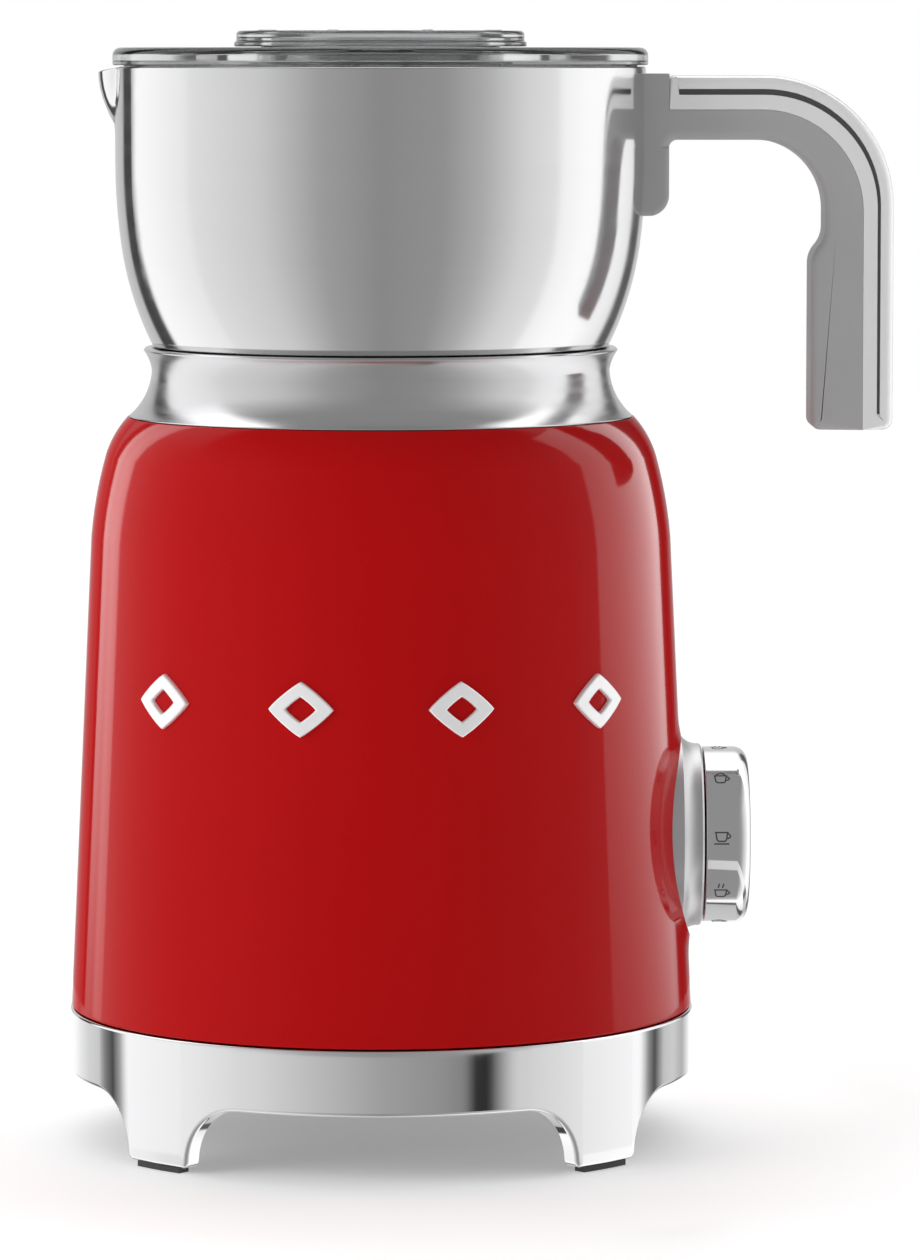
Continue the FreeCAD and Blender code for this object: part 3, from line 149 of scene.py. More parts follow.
def finishOf(name):    # mottled colour, worn edges, uneven gloss and fine relief
    look = looks[name]
    material = bpy.data.materials.new("finish_" + name)
    material.use_nodes = True
    tree = material.node_tree
    shader = tree.nodes["Principled BSDF"]
    shader.inputs["Metallic"].default_value = look.get("metal", 0.0)
    for socket, value in look.get("sockets", {}).items():
        shader.inputs[socket].default_value = value
    place = tree.nodes.new("ShaderNodeTexCoord")
    stretch = tree.nodes.new("ShaderNodeMapping")
    stretch.inputs["Scale"].default_value = look.get("stretch", (1, 1, 1))
    tree.links.new(place.outputs["Object"], stretch.inputs["Vector"])
    vector = stretch.outputs["Vector"]
    patches = noiseOf(tree, vector, look["patch"], 3)
    grain = noiseOf(tree, vector, look["grain"], 5)
    dark = tuple(c * (1 - look["spread"]) for c in look["colour"])
    light = tuple(min(c * (1 + look["spread"]), 1.0) for c in look["colour"])
    colour = mixOf(tree, patches, dark, light)
    if "worn" in look:
        share, tint = look["worn"]
        shape = tree.nodes.new("ShaderNodeNewGeometry")
        edges = rangeOf(tree, shape.outputs["Pointiness"], *finishRange["worn"], 0.0, share)
        colour = mixOf(tree, edges, colour, tint)
    tree.links.new(colour, shader.inputs["Base Color"])
    rough = rangeOf(tree, patches, *finishRange["patchy"], *look["rough"])
    tree.links.new(rough, shader.inputs["Roughness"])
    if "glossFade" in look:    # deep lacquer: the gloss weakens where the surface turns away
        away = tree.nodes.new("ShaderNodeLayerWeight")
        level = rangeOf(tree, away.outputs["Facing"], *look["glossFade"], *finishRange["gloss"])
        tree.links.new(level, shader.inputs["Specular IOR Level"])
    bump = tree.nodes.new("ShaderNodeBump")
    bump.inputs["Strength"].default_value = 1.0
    bump.inputs["Distance"].default_value = look["relief"] * mm
    tree.links.new(grain, bump.inputs["Height"])
    tree.links.new(bump.outputs["Normal"], shader.inputs["Normal"])
    return material


finish = {name: finishOf(name) for name in looks}
print("finishes ready:", len(finish))


def objectOf(name, data):    # a new object, linked into the scene
    made = bpy.data.objects.new(name, data)
    bpy.context.collection.objects.link(made)
    return made


def arcPoints(start, end, radius, step):    # the short arc after start, turning left when radius is plus
    across, up = end[0] - start[0], end[1] - start[1]
    span = math.hypot(across, up)
    side = math.copysign(1, radius)
    away = side * math.sqrt(max(radius ** 2 - span ** 2 / 4, 0.0)) / span
    centre = (start[0] + across / 2 - up * away, start[1] + up / 2 + across * away)
    first = math.atan2(start[1] - centre[1], start[0] - centre[0])
    sweep = 2 * math.asin(min(span / 2 / abs(radius), 1.0)) * side
    count = max(2, math.ceil(abs(math.degrees(sweep)) / step))
    angles = [first + sweep * n / count for n in range(1, count + 1)]
    return [(centre[0] + abs(radius) * math.cos(a), centre[1] + abs(radius) * math.sin(a)) for a in angles]


def lineOf(corners, step=5):    # points of an outline; a third entry makes the edge that ends there an arc
    points = []
    for place, corner in enumerate(corners):
        if len(corner) == 3:
            points += arcPoints(corners[place - 1][:2], corner[:2], corner[2], step)
        else:
            points.append(corner)
    return points


sharpTurn = math.radians(25)    # gentler corners are left alone
widestTurn = 2.6
edgeShare = 0.45    # how much of an edge one corner may take


def softened(points, radius, closed=True):    # small arcs in place of an outline's sharp corners
    made = []
    for place, point in enumerate(points):
        ends = not closed and place in (0, len(points) - 1)
        here = Vector(point)
        before = Vector(points[place - 1]) - here
        after = Vector(points[(place + 1) % len(points)]) - here
        if ends or before.length < 1e-6 or after.length < 1e-6:
            made.append(tuple(here))
            continue
        turn = math.pi - before.angle(after)
        if turn < sharpTurn:
            made.append(tuple(here))
            continue
        room = edgeShare * min(before.length, after.length)
        trim = min(radius * math.tan(min(turn, widestTurn) / 2), room)
        first, last = here + before.normalized() * trim, here + after.normalized() * trim
        for share in (0.0, 0.25, 0.5, 0.75, 1.0):
            made.append(tuple(first.lerp(here, share).lerp(here.lerp(last, share), share)))
    return made


def eased(share):    # from 0 to 1 with a soft start and end
    share = max(0.0, min(1.0, share))
    return share * share * (3 - 2 * share)


def evenTurn(count):
    return [2 * math.pi * n / count for n in range(count)]


def denseTurn(count, middles, half, extra):    # even angles, closer within half a span of each middle
    angles = set(evenTurn(count))
    for middle in middles:
        for n in range(extra + 1):
            angles.add((math.radians(middle - half + 2 * half * n / extra)) % (2 * math.pi))
    ordered = sorted(angles)
    return [a for a, b in zip(ordered, ordered[1:] + [ordered[0] + 2 * math.pi]) if b - a > 1e-3]


def upright(profile, angles, foot):    # rows of (radius, height) points turned about the upright axis
    return [[(r * math.cos(a), r * math.sin(a), foot + h) for a in angles] for r, h in profile]


def lying(profile, angles, back, height):    # the same for (distance, radius) about a sideways axis
    return [[(back + d, r * math.cos(a), height + r * math.sin(a)) for a in angles] for d, r in profile]


def turned(shape, step, closed=True):    # outline and angles of a turned part
    return softened(lineOf(shape["outline"], step), shape["edge"], closed), evenTurn(shape["around"])


nearest, shortest = 0.002, 0.001    # points that join, edges that go
largeEnd = 8    # faces with more corners stay flat


def pieceOf(name, grids, look, smooth=35):    # grids are (rows, ends); ends are closed, capped or open
    points, faces = [], []
    for rows, ends in grids:
        start, wide = len(points), len(rows[0])
        points += [Vector(p) * mm for row in rows for p in row]
        steps = len(rows) if ends == "closed" else len(rows) - 1
        for row in range(steps):
            low, high = start + row * wide, start + (row + 1) % len(rows) * wide
            for n in range(wide):
                m = (n + 1) % wide
                faces.append((low + n, low + m, high + m, high + n))
        if ends == "capped":
            faces.append(tuple(range(start, start + wide)))
            faces.append(tuple(range(start + (len(rows) - 1) * wide, start + len(rows) * wide)))
    mesh = bpy.data.meshes.new(name)
    mesh.from_pydata(points, [], faces)
    work = bmesh.new()
    work.from_mesh(mesh)
    bmesh.ops.remove_doubles(work, verts=work.verts, dist=nearest * mm)
    bmesh.ops.dissolve_degenerate(work, dist=shortest * mm, edges=work.edges)
    bmesh.ops.recalc_face_normals(work, faces=work.faces)
    work.to_mesh(mesh)
    work.free()
    mesh.materials.append(finish[look])
    piece = objectOf(name, mesh)
    smoothed(piece, smooth)
    return piece


def smoothed(piece, degrees):
    piece.data.shade_smooth()
    for face in piece.data.polygons:
        if len(face.vertices) > largeEnd:
            face.use_smooth = False
    piece.data.set_sharp_from_angle(angle=math.radians(degrees))
    piece.modifiers.new("weighted", "WEIGHTED_NORMAL").keep_sharp = True


def stands(piece, body, *nodes, slot=None):    # ride on a body, in place of its nodes
    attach(piece, body)
    if nodes:
        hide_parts(*nodes)


def bored(piece, cutters, smooth):    # holes through a piece
    for cutter in cutters:
        cut = piece.modifiers.new("bore", "BOOLEAN")
        cut.operation, cut.solver, cut.object = "DIFFERENCE", "EXACT", cutter
    shape = bpy.data.meshes.new_from_object(piece.evaluated_get(bpy.context.evaluated_depsgraph_get()))
    piece.modifiers.clear()
    piece.data = shape
    for cutter in cutters:
        bpy.data.objects.remove(cutter)
    smoothed(piece, smooth)


def heightAlong(line, height):    # radius of an outline at a height
    for (r0, h0), (r1, h1) in zip(line, line[1:]):
        if h0 <= height <= h1:
            return r0 + (r1 - r0) * (height - h0) / max(h1 - h0, 1e-9)
    return line[0][0] if height < line[0][1] else line[-1][0]


# red shell: tapered wall, turned-in shoulder, a hole for the knob and one for the cord gland
shellShape = {
    "outer": [(67.7, 0), (62.9, 102.2), (59.6, 120.2, 95), (54.9, 128.2, 22)],
    "inner": [(47.9, 128.2), (47.9, 125.7), (52.9, 125.7), (57.1, 119.2), (60.4, 102.2), (65.2, 0)],
    "edge": 0.4, "around": 180, "knobHole": 14.0, "glandHole": 6.2, "holeLength": 16.0, "holeAround": 64,
}
shellFoot = extent("body_shell")[0].z
shellLine = lineOf(shellShape["outer"], 2)
knobLow, knobHigh = extent("knob_ring")
knobHeight = middleOf("knob_ring")


def shellRadius(height):
    return heightAlong(shellLine, height - shellFoot)


def shellDistance(across, height):    # how far out the shell is at a point beside the knob's axis
    return math.sqrt(shellRadius(height) ** 2 - across ** 2)


def shellPiece():
    shape = shellShape
    profile = softened(shellLine + shape["inner"], shape["edge"])
    rows = upright(profile, evenTurn(shape["around"]), shellFoot)
    piece = pieceOf("shell_wall", [(rows, "closed")], "red_shell", 30)
    turn = evenTurn(shape["holeAround"])

    def hole(radius, height):
        long = shape["holeLength"]
        return lying([(0, radius), (long, radius)], turn, shape["outer"][0][0] - long / 2, height)

    knobHole = hole(shape["knobHole"], knobHeight)
    sideways = hole(shape["glandHole"], middleOf("cord_grommet"))
    glandHole = [[(y, x, z) for x, y, z in row] for row in sideways]
    cutters = [pieceOf("knob_bore", [(knobHole, "capped")], "red_shell"),
               pieceOf("gland_bore", [(glandHole, "capped")], "red_shell")]
    bored(piece, cutters, 30)
    stands(piece, "base", "body_shell")
    return piece


flareShape = {"outerRadius": 27.0, "innerRadius": 21.9, "rise": 0.45, "steps": 10, "around": 128,
              "under": 0.25, "lip": (0.25, 0.1), "inside": 0.3}


def flarePiece():    # the red wall drawn out a little round the knob's plate
    shape = flareShape
    outer, inner = shape["outerRadius"], shape["innerRadius"]
    angles = evenTurn(shape["around"])

    def rowAt(radius, lift):
        row = []
        for a in angles:
            across, height = radius * math.cos(a), knobHeight + radius * math.sin(a)
            row.append((shellDistance(across, height) + lift, across, height))
        return row

    rows = [rowAt(outer, -shape["under"])]
    for n in range(shape["steps"] + 1):
        share = n / shape["steps"]
        rows.append(rowAt(outer - (outer - inner) * share, shape["rise"] * share ** 2))
    lipIn, lipDown = shape["lip"]
    rows += [rowAt(inner - lipIn, shape["rise"] - lipDown), rowAt(inner - shape["inside"], -shape["under"])]
    piece = pieceOf("shell_flare", [(rows, "closed")], "red_shell", 50)
    stands(piece, "base", slot="red_shell")
    return piece


redPieces = [shellPiece(), flarePiece()]
print("red shell ready")


# foot ring: a chromed ring with four arches; depths are measured in from the outer face
ringShape = {
    "flatHalf": 31.78, "archRadius": 12.4, "archFoot": 0.9, "archTop": 13.3, "footRound": 1.7,
    "outerRound": 1.0, "innerRound": 0.4, "wall": 4.5, "topRound": 0.6, "top": 27.3, "lipDepth": 3.3,
    "lipInside": 5.3, "lipTop": 31.3, "stepLow": 21.3, "stepHigh": 23.3, "bend": 6, "archSteps": 14,
    "flatSteps": 6, "innerBend": 3, "cornerGap": 0.5, "band": 6, "soft": 0.13,
}


def ringEdge():    # lower edge of one eighth of the ring: distance around, height, way out of the metal
    shape = ringShape
    arch, corner = shape["archRadius"], shape["footRound"]
    centre = (shape["flatHalf"], shape["archFoot"])
    lean = math.asin((corner - shape["archFoot"]) / (arch + corner))
    foot = (centre[0] + (arch + corner) * math.cos(lean), corner)
    flat = shape["flatSteps"]
    edge = [(shape["flatHalf"] * n / flat, shape["archTop"], 0.0, -1.0) for n in range(flat)]
    for n in range(shape["archSteps"] + 1):
        a = math.pi / 2 + (lean - math.pi / 2) * n / shape["archSteps"]
        x, y = math.cos(a), math.sin(a)
        edge.append((centre[0] + arch * x, centre[1] + arch * y, -x, -y))
    for n in range(1, shape["bend"] + 1):
        a = math.pi + lean + (math.pi / 2 - lean) * n / shape["bend"]
        x, y = math.cos(a), math.sin(a)
        edge.append((foot[0] + corner * x, foot[1] + corner * y, x, y))
    return edge


def ringPiece():
    shape = ringShape
    low, high = extent("foot_ring")
    radius, foot = high.x, low.z
    quarter = radius * math.pi / 4
    half = [e for e in ringEdge() if e[0] < quarter - shape["cornerGap"]]
    other = [(2 * quarter - s, z, -ns, nz) for s, z, ns, nz in half[:0:-1]]
    side = half + [(quarter, 0.0, 0.0, -1.0)] + other
    edge = [(s + 2 * quarter * n, z, ns, nz) for n in range(4) for s, z, ns, nz in side]

    def spot(distance, depth, height):
        a = distance / radius
        return ((radius - depth) * math.cos(a), (radius - depth) * math.sin(a), foot + height)

    def bendRow(radius, depth, angle):    # a row on the rounded lower edge of the outer or inner face
        inset = radius * (1 - math.sin(angle))
        return [spot(s - ns * inset, depth, z - nz * inset) for s, z, ns, nz in edge]

    rows = []
    outerRound, innerRound = shape["outerRound"], shape["innerRound"]
    for n in range(shape["bend"] + 1):
        a = math.pi / 2 * (1 - n / shape["bend"])
        rows.append(bendRow(outerRound, outerRound * (1 - math.cos(a)), a))
    column = [s - ns * outerRound for s, z, ns, nz in edge]
    top, cut, soft = shape["top"], shape["topRound"], shape["soft"] * shape["topRound"]
    straight = [(0, top - shape["band"]), (0, top - cut), (soft, top - cut / 2), (cut / 2, top - soft),
                (cut, top), (shape["lipDepth"], top), (shape["lipDepth"], shape["lipTop"]),
                (shape["lipInside"], shape["lipTop"]), (shape["lipInside"], shape["stepHigh"]),
                (shape["wall"], shape["stepLow"])]
    rows += [[spot(s, depth, height) for s in column] for depth, height in straight]
    for n in range(shape["innerBend"] + 1):
        a = math.pi / 2 * n / shape["innerBend"]
        rows.append(bendRow(innerRound, shape["wall"] - innerRound * (1 - math.cos(a)), a))
    stands(pieceOf("ring_of_feet", [(rows, "closed")], "chrome", 32), "base", "foot_ring")


ringPiece()
print("foot ring ready")


# neck collar: satin metal, waisted, with a rolled lip under the jug
collarShape = {
    "outline": [(49.2, 0), (54.7, 0), (49.6, 9.9, -14), (51.4, 14.4, -9), (50.9, 14.9), (49.7, 14.9),
                (48.4, 9.9, 10.2), (51.3, 1.2, 15.2), (49.2, 1.2)],
    "edge": 0.25, "around": 180,
}
collarRows = upright(*turned(collarShape, 4), extent("neck_collar")[0].z)
stands(pieceOf("collar", [(collarRows, "closed")], "satin_metal", 30), "base", "neck_collar")
print("neck collar ready")


# jug: thin spun wall, leaning in below, with a pinched spout on the left
jugShape = {
    "radius": 57.3, "upperBreak": 45.9, "upperArc": 130, "upperLean": 8.0, "lowerArc": 70, "lowerLean": 28.5,
    "corner": 8.0, "recess": 39.0, "recessTop": 1.1, "wall": 0.8, "spoutAxis": 48.0, "spoutArc": 24.0,
    "spoutRadius": 12.9, "spoutLow": 53.4, "spoutMargin": 1.5, "spoutSpan": 22, "spoutSteps": 66, "dip": 1.0,
    "dipSpan": 13, "dipDeep": 8, "blend": 0.6, "around": 144, "straight": 10, "rimSteps": 6, "dishRadius": 12,
    "dishRound": 0.3, "recessRound": 0.4, "underGap": 0.02,
}
jugLow, jugHigh = extent("jug_body")
jugFoot, jugRim = jugLow.z, jugHigh.z


def leaned(start, radius, lean, further, steps):    # points of an arc that leans a wall in as it goes down
    first, last = math.radians(lean), math.radians(further)
    centre = (start[0] - radius * math.cos(first), start[1] + radius * math.sin(first))
    angles = [first + (last - first) * n / steps for n in range(1, steps + 1)]
    return [(centre[0] + radius * math.cos(a), centre[1] - radius * math.sin(a)) for a in angles]


def jugLine(inset):    # wall line from rim to foot, moved in by inset
    shape = jugShape
    line = [(shape["radius"] - inset, jugRim)]
    tall, steps = jugRim - jugFoot - shape["upperBreak"], shape["straight"]
    line += [(line[0][0], jugRim - tall * n / steps) for n in range(1, steps + 1)]
    line += leaned(line[-1], shape["upperArc"] - inset, 0, shape["upperLean"], 5)
    line += leaned(line[-1], shape["lowerArc"] - inset, shape["upperLean"], shape["lowerLean"], 10)
    line += leaned(line[-1], shape["corner"] - inset, shape["lowerLean"], 90, 8)
    return line


jugWallLine = jugLine(0.0)[::-1]


def jugRadius(height):
    return heightAlong(jugWallLine, height)


def jugPiece():
    shape = jugShape
    angles = denseTurn(shape["around"], [180], shape["spoutSpan"], shape["spoutSteps"])
    wall, foot = shape["wall"], shape["recess"]

    def wallAt(radius, height, inset, angle):    # the wall or the spout, whichever is further out
        drop = jugRim - height
        if drop > jugRim - jugFoot - shape["spoutLow"] + shape["spoutMargin"]:
            return radius
        arc = shape["spoutArc"]
        around = math.sqrt(arc ** 2 - drop ** 2) - arc + shape["spoutRadius"] - inset
        along = -shape["spoutAxis"] * math.cos(angle)
        inside = along ** 2 - shape["spoutAxis"] ** 2 + around ** 2
        if inside <= 0 or along < 0:
            return radius
        reach = along + math.sqrt(inside)
        share = max(0.0, min(1.0, 0.5 + (reach - radius) / shape["blend"] / 2))
        return radius * (1 - share) + reach * share + shape["blend"] * share * (1 - share) / 2

    def rowOf(radius, height, inset):
        row = []
        for a in angles:
            r = wallAt(radius, height, inset, a) if radius > shape["radius"] - 2 else radius
            near = eased(1 - abs(math.degrees(a) - 180) / shape["dipSpan"])
            dip = shape["dip"] * near * max(0.0, 1 - (jugRim - height) / shape["dipDeep"])
            row.append((r * math.cos(a), r * math.sin(a), height - dip))
        return row

    floor = jugFoot + shape["recessTop"]
    rows = [rowOf(0, floor, 0), rowOf(foot - shape["recessRound"], floor, 0),
            rowOf(foot, jugFoot + shape["underGap"], 0)]
    rows += [rowOf(r, h, 0.0) for r, h in jugWallLine[:-1]]
    half = wall / 2
    for n in range(shape["rimSteps"] + 1):
        a = math.pi * n / shape["rimSteps"]
        move = half - half * math.cos(a)
        rows.append(rowOf(shape["radius"] - move, jugRim - half + half * math.sin(a), move))
    inner = jugLine(wall)[1:]
    rows += [rowOf(r, h, wall) for r, h in inner]
    rows += [rowOf(foot + wall, inner[-1][1], 0), rowOf(foot + wall - shape["dishRound"], floor + wall, 0),
             rowOf(shape["dishRadius"], floor + wall, 0), rowOf(0, floor + wall, 0)]
    stands(pieceOf("jug_wall", [(rows, "open")], "stainless", 40), "jug", "jug_body")


jugPiece()
print("jug ready")


# handle: a grey moulded core with a silver trim round its outside, and a painted dark reflection line in the
# trim's groove
handleHalf = 8.5
flatMargin = 0.4    # flat strip beside a rounded edge
wallReach, wallSink = 58.5, 0.35    # points closer in than wallReach lie just inside the jug's wall
coreShape = {
    "plate": [(56.6, 46.1), (57.6, 46.1), (62.1, 50.6, 4.5), (62.1, 60.7)],
    "grip": [(63.9, 62.5, -1.8), (80.8, 62.5), (95.8, 47.5, -15), (95.8, 43.7), (94.3, 39.7, -6.1),
             (92.8, 35.7, 6.1), (92.8, 2.2), (95.0, 0.0, 2.2)],
    "seam": [(104.0, 0.0), (104.0, 47.0), (82.0, 69.0, 22), (62.1, 69.0), (62.1, 76.7), (56.6, 76.7)],
    "plateRound": 1.0, "gripRound": 2.0, "seamRound": 0.22,
}
trimShape = {
    "seam": [(62.1, 69.0), (82.0, 69.0), (104.0, 47.0, -22), (104.0, 0.0)],
    "heel": [(108.4, 0.0), (110.6, 2.2, 2.2)],
    "outer": [(110.6, 3.5), (110.6, 48.3), (82.6, 76.3, 28), (64.2, 76.3)],
    "end": [(63.6, 76.3), (62.1, 74.8, 1.5)],
    "seamRound": 0.22, "heelRound": 1.9, "outerRound": 1.9, "endRound": 0.9, "grooveIn": 2.9,
    "grooveDepth": 0.5, "grooveWide": 1.2, "grooveSlim": 0.6, "grooveHeight": 76.0, "grooveLow": 45.0,
    # the last two entries place the dark strip in the groove, a painted reflection line
    "grooveEdge": 0.06, "grooveCut": 0.1, "grooveSlope": 0.04, "reflectionLineGap": 0.03, "reflectionLineDepth": 0.22,
}
trimKinds = ("seam", "heel", "outer", "end")


def sidedLine(shape, kinds, step=4):    # outline with the kind of edge at each point
    corners = [(kind, corner) for kind in kinds for corner in shape[kind]]
    points, kindOf = [], []
    for place, (kind, corner) in enumerate(corners):
        made = [corner]
        if len(corner) == 3:
            made = arcPoints(corners[place - 1][1][:2], corner[:2], corner[2], step)
        points += made
        kindOf += [kind] * len(made)
    return points, kindOf


cornerLimit = 0.6    # keeps sharp corners from reaching too far in


def inward(points):    # for each point of a left-turning outline, the way in, longer at corners
    ways = []
    for place, point in enumerate(points):
        here = Vector(point)
        first = (here - Vector(points[place - 1])).normalized()
        second = (Vector(points[(place + 1) % len(points)]) - here).normalized()
        sideFirst, sideSecond = Vector((-first.y, first.x)), Vector((-second.y, second.x))
        both = (sideFirst + sideSecond).normalized()
        ways.append(both / max(both.dot(sideFirst), cornerLimit))
    return ways


def roundedEdge(radius, steps=5):    # (inset, depth) pairs from the flat face to the side
    angles = [math.pi / 2 * n / steps for n in range(steps + 1)]
    return [(radius * (1 - math.sin(a)), radius * (1 - math.cos(a))) for a in angles]


def flatEdge(radius, spare=0):    # rounded edge with a flat margin, and spare pairs to match a grooved one
    return [(radius + flatMargin, 0.0)] * (1 + spare) + roundedEdge(radius)


def plateRows(points, sections, node):    # a flat plate with its own edge section at each point
    foot = extent(node)[0].z
    ways = inward(points)
    count = len(sections[0])
    rows = []
    for side in (-1, 1):
        order = range(count) if side < 0 else range(count - 1, -1, -1)
        for n in order:
            row = []
            for point, way, section in zip(points, ways, sections):
                inset, depth = section[n]
                x, z = point[0] + way.x * inset, point[1] + way.y * inset + foot
                y = side * (handleHalf - depth)
                if x < wallReach:
                    x = math.sqrt((jugRadius(z) - wallSink) ** 2 - y ** 2)
                row.append((x, y, z))
            rows.append(row)
    return rows


def corePiece():
    shape = coreShape
    points, kinds = sidedLine(shape, ("plate", "grip", "seam"))
    sections = [flatEdge(shape[kind + "Round"]) for kind in kinds]
    rows = plateRows(points, sections, "handle_core")
    stands(pieceOf("grip_core", [(rows, "capped")], "grey_plastic", 40), "jug", "handle_core")


def grooveWidth(height):    # wide along the arm, slim down the grip
    shape = trimShape
    share = (height - shape["grooveLow"]) / (shape["grooveHeight"] - shape["grooveLow"])
    return shape["grooveSlim"] + (shape["grooveWide"] - shape["grooveSlim"]) * max(0.0, min(1.0, share))


def trimPiece():
    shape = trimShape
    points, kinds = sidedLine(shape, trimKinds)
    edge, cut, slope = shape["grooveEdge"], shape["grooveCut"], shape["grooveSlope"]
    deep = shape["grooveDepth"]

    def grooved(height):
        near = shape["grooveIn"]
        far = near + grooveWidth(height)
        return [(far + flatMargin, 0.0), (far + edge, 0.0), (far, cut), (far - slope, deep),
                (near + slope, deep), (near, cut), (near - edge, 0.0)]

    sections = []
    for point, kind in zip(points, kinds):
        if kind == "outer":
            sections.append(grooved(point[1]) + roundedEdge(shape["outerRound"]))
        else:
            sections.append(flatEdge(shape[kind + "Round"], len(grooved(0.0)) - 1))
    rows = plateRows(points, sections, "handle_trim")
    stands(pieceOf("grip_trim", [(rows, "capped")], "silver_trim", 40), "jug", "handle_trim")


def paintedReflectionLine():    # a dark strip lying in the groove on both sides: a painted dark reflection line
    shape = trimShape
    points, kinds = sidedLine(shape, trimKinds)
    foot = extent("handle_trim")[0].z
    high, low = shape["reflectionLineDepth"], shape["grooveDepth"] + shape["grooveCut"]
    gap = shape["reflectionLineGap"]

    def rowAt(point, way, side):
        near = shape["grooveIn"] + gap
        far = near + grooveWidth(point[1]) - 2 * gap
        return [(point[0] + way.x * inset, side * (handleHalf - depth), foot + point[1] + way.y * inset)
                for inset, depth in ((near, high), (far, high), (far, low), (near, low))]

    outer = [(point, way) for point, way, kind in zip(points, inward(points), kinds) if kind == "outer"]
    grids = [([rowAt(point, way, side) for point, way in outer], "capped") for side in (-1, 1)]
    # the dark print finish colours this strip as a painted dark reflection line
    stands(pieceOf("trim_painted_reflection", grids, "print", 40), "jug", slot="black_plastic")


corePiece()
trimPiece()
paintedReflectionLine()
print("handle ready")


# lid: clear moulding with two shallow recesses that leave a web at the front and the back
lidShape = {
    "skirt": [(26.8, 1.5), (28.6, 1.5), (28.6, 7.3), (53.6, 7.3), (53.6, 0), (55.4, 0), (55.4, 6.3),
              (57.8, 6.3), (57.8, 8.4), (56.1, 10.1, 1.7), (55.4, 10.1)],
    "dishOuter": 54.4, "dishInner": 33.0, "dish": 8.9, "flat": 10.1, "neckRow": 29.6, "neckTop": 9.9,
    "dishEdge": [(0.6, 0.0), (0.25, 0.15), (0.0, 0.85), (-0.4, 1.0)], "neckInner": 26.8, "webHalf": 5.3,
    "webEdge": 0.5, "webSpan": 14, "webSteps": 40, "edge": 0.3, "around": 128,
}


def lidPiece():
    shape = lidShape
    low = extent("lid_shell")[0].z
    angles = denseTurn(shape["around"], [90, 270], shape["webSpan"], shape["webSteps"])
    rows = upright(softened(lineOf(shape["skirt"], 15), shape["edge"], False), angles, low)

    def dishRow(radius, sunk):    # sunk between the webs, level on them
        row = []
        for a in angles:
            share = (abs(radius * math.cos(a)) - shape["webHalf"]) / shape["webEdge"] / 2 + 0.5
            level = shape["flat"] - (shape["flat"] - shape["dish"]) * sunk * eased(share)
            row.append((radius * math.cos(a), radius * math.sin(a), low + level))
        return row

    rows += [dishRow(shape["dishOuter"] + out, sunk) for out, sunk in shape["dishEdge"]]
    rows += [dishRow(shape["dishInner"] - out, sunk) for out, sunk in shape["dishEdge"][::-1]]
    rows.append(dishRow(shape["neckRow"], 0.0))
    neck, top, edge = shape["neckInner"], shape["neckTop"], shape["edge"]
    rows += upright([(neck + edge, top), (neck, top - edge)], angles, low)
    stands(pieceOf("lid_moulding", [(rows, "closed")], "clear_plastic", 30), "lid", "lid_shell")


capShape = {
    "outline": [(0, 9.3), (23.8, 9.3), (23.8, 0), (25.6, 0), (25.6, 7.3), (31.6, 7.3), (31.6, 8.2),
                (31.1, 8.5), (31.1, 9.8), (30.2, 10.7, 0.9), (0, 10.7)],
    "edge": 0.35, "around": 144, "top": 10.7, "marks": 8, "markInner": 24.5, "markOuter": 28.0,
    "markWidth": 0.9, "markTurn": 0.39, "markSteps": 3, "markSink": -0.05, "markRise": 0.18,
}


def ribbon(line, width, low, high, place):    # a strip; place turns (across, up, out) into a point
    rows = []
    for n, point in enumerate(line):
        here = Vector(point)
        ahead = Vector(line[min(n + 1, len(line) - 1)]) - Vector(line[max(n - 1, 0)])
        side = Vector((-ahead.y, ahead.x)).normalized() * width / 2
        left, right = here + side, here - side
        rows.append([place(left.x, left.y, low), place(left.x, left.y, high),
                     place(right.x, right.y, high), place(right.x, right.y, low)])
    return rows, "capped"


def capPiece():
    shape = capShape
    low = extent("measuring_cap")[0].z
    grids = [(upright(*turned(shape, 15, False), low), "open")]

    def onTop(x, y, out):
        return x, y, low + shape["top"] + out

    near, steps = shape["markInner"], shape["markSteps"]
    long = shape["markOuter"] - near
    for a in evenTurn(shape["marks"]):
        way = Vector((math.cos(a + shape["markTurn"]), math.sin(a + shape["markTurn"])))
        line = [way * (near + long * n / steps) for n in range(steps + 1)]
        grids.append(ribbon(line, shape["markWidth"], shape["markSink"], shape["markRise"], onTop))
    stands(pieceOf("measuring_cup", grids, "clear_plastic", 30), "cap", "measuring_cap")


lidPiece()
capPiece()
print("lid and measuring cap ready")


# knob: silver plate, chromed ring with printed cups on its rim, and a crowned button
plateShape = {
    "outline": [(7.5, 14.3), (7.5, 19.5), (7.1, 19.9), (3.1, 21.8, -4.2), (0, 21.8), (0, 14.3)],
    "edge": 0.2, "around": 128, "sink": 0.9, "backRows": 0.5,
}
dialShape = {
    "outline": [(0, 11.3), (14.4, 11.3), (14.4, 13.2), (20.4, 13.2), (21.2, 14.0, -0.8), (21.2, 16.2),
                (18.2, 19.2, 3.0), (11.5, 19.2), (11.5, 13.0), (0, 13.0)],
    "edge": 0.3, "around": 128,
}
buttonShape = {
    "outline": [(0, 0), (15.8, 0), (16.4, 7.6, -60), (15.6, 9.1, 1.6), (7.5, 9.1), (7.5, 2.2), (0, 2.2)],
    "edge": 0.25, "around": 96,
}


def platePiece():
    shape = plateShape
    back = extent("knob_escutcheon")[1].x - shape["outline"][0][0]
    rows = lying(*turned(shape, 12), back, knobHeight)
    for row in rows:    # the hidden back follows the shell
        for n, (x, y, z) in enumerate(row):
            if x < back + shape["backRows"]:
                row[n] = (shellDistance(y, z) - shape["sink"], y, z)
    stands(pieceOf("knob_plate", [(rows, "closed")], "soft_metal", 35), "base", "knob_escutcheon")


def dialPiece():
    rows = lying(*turned(dialShape, 12), knobLow.x, knobHeight)
    stands(pieceOf("dial", [(rows, "closed")], "chrome", 32), "knob", "knob_ring")


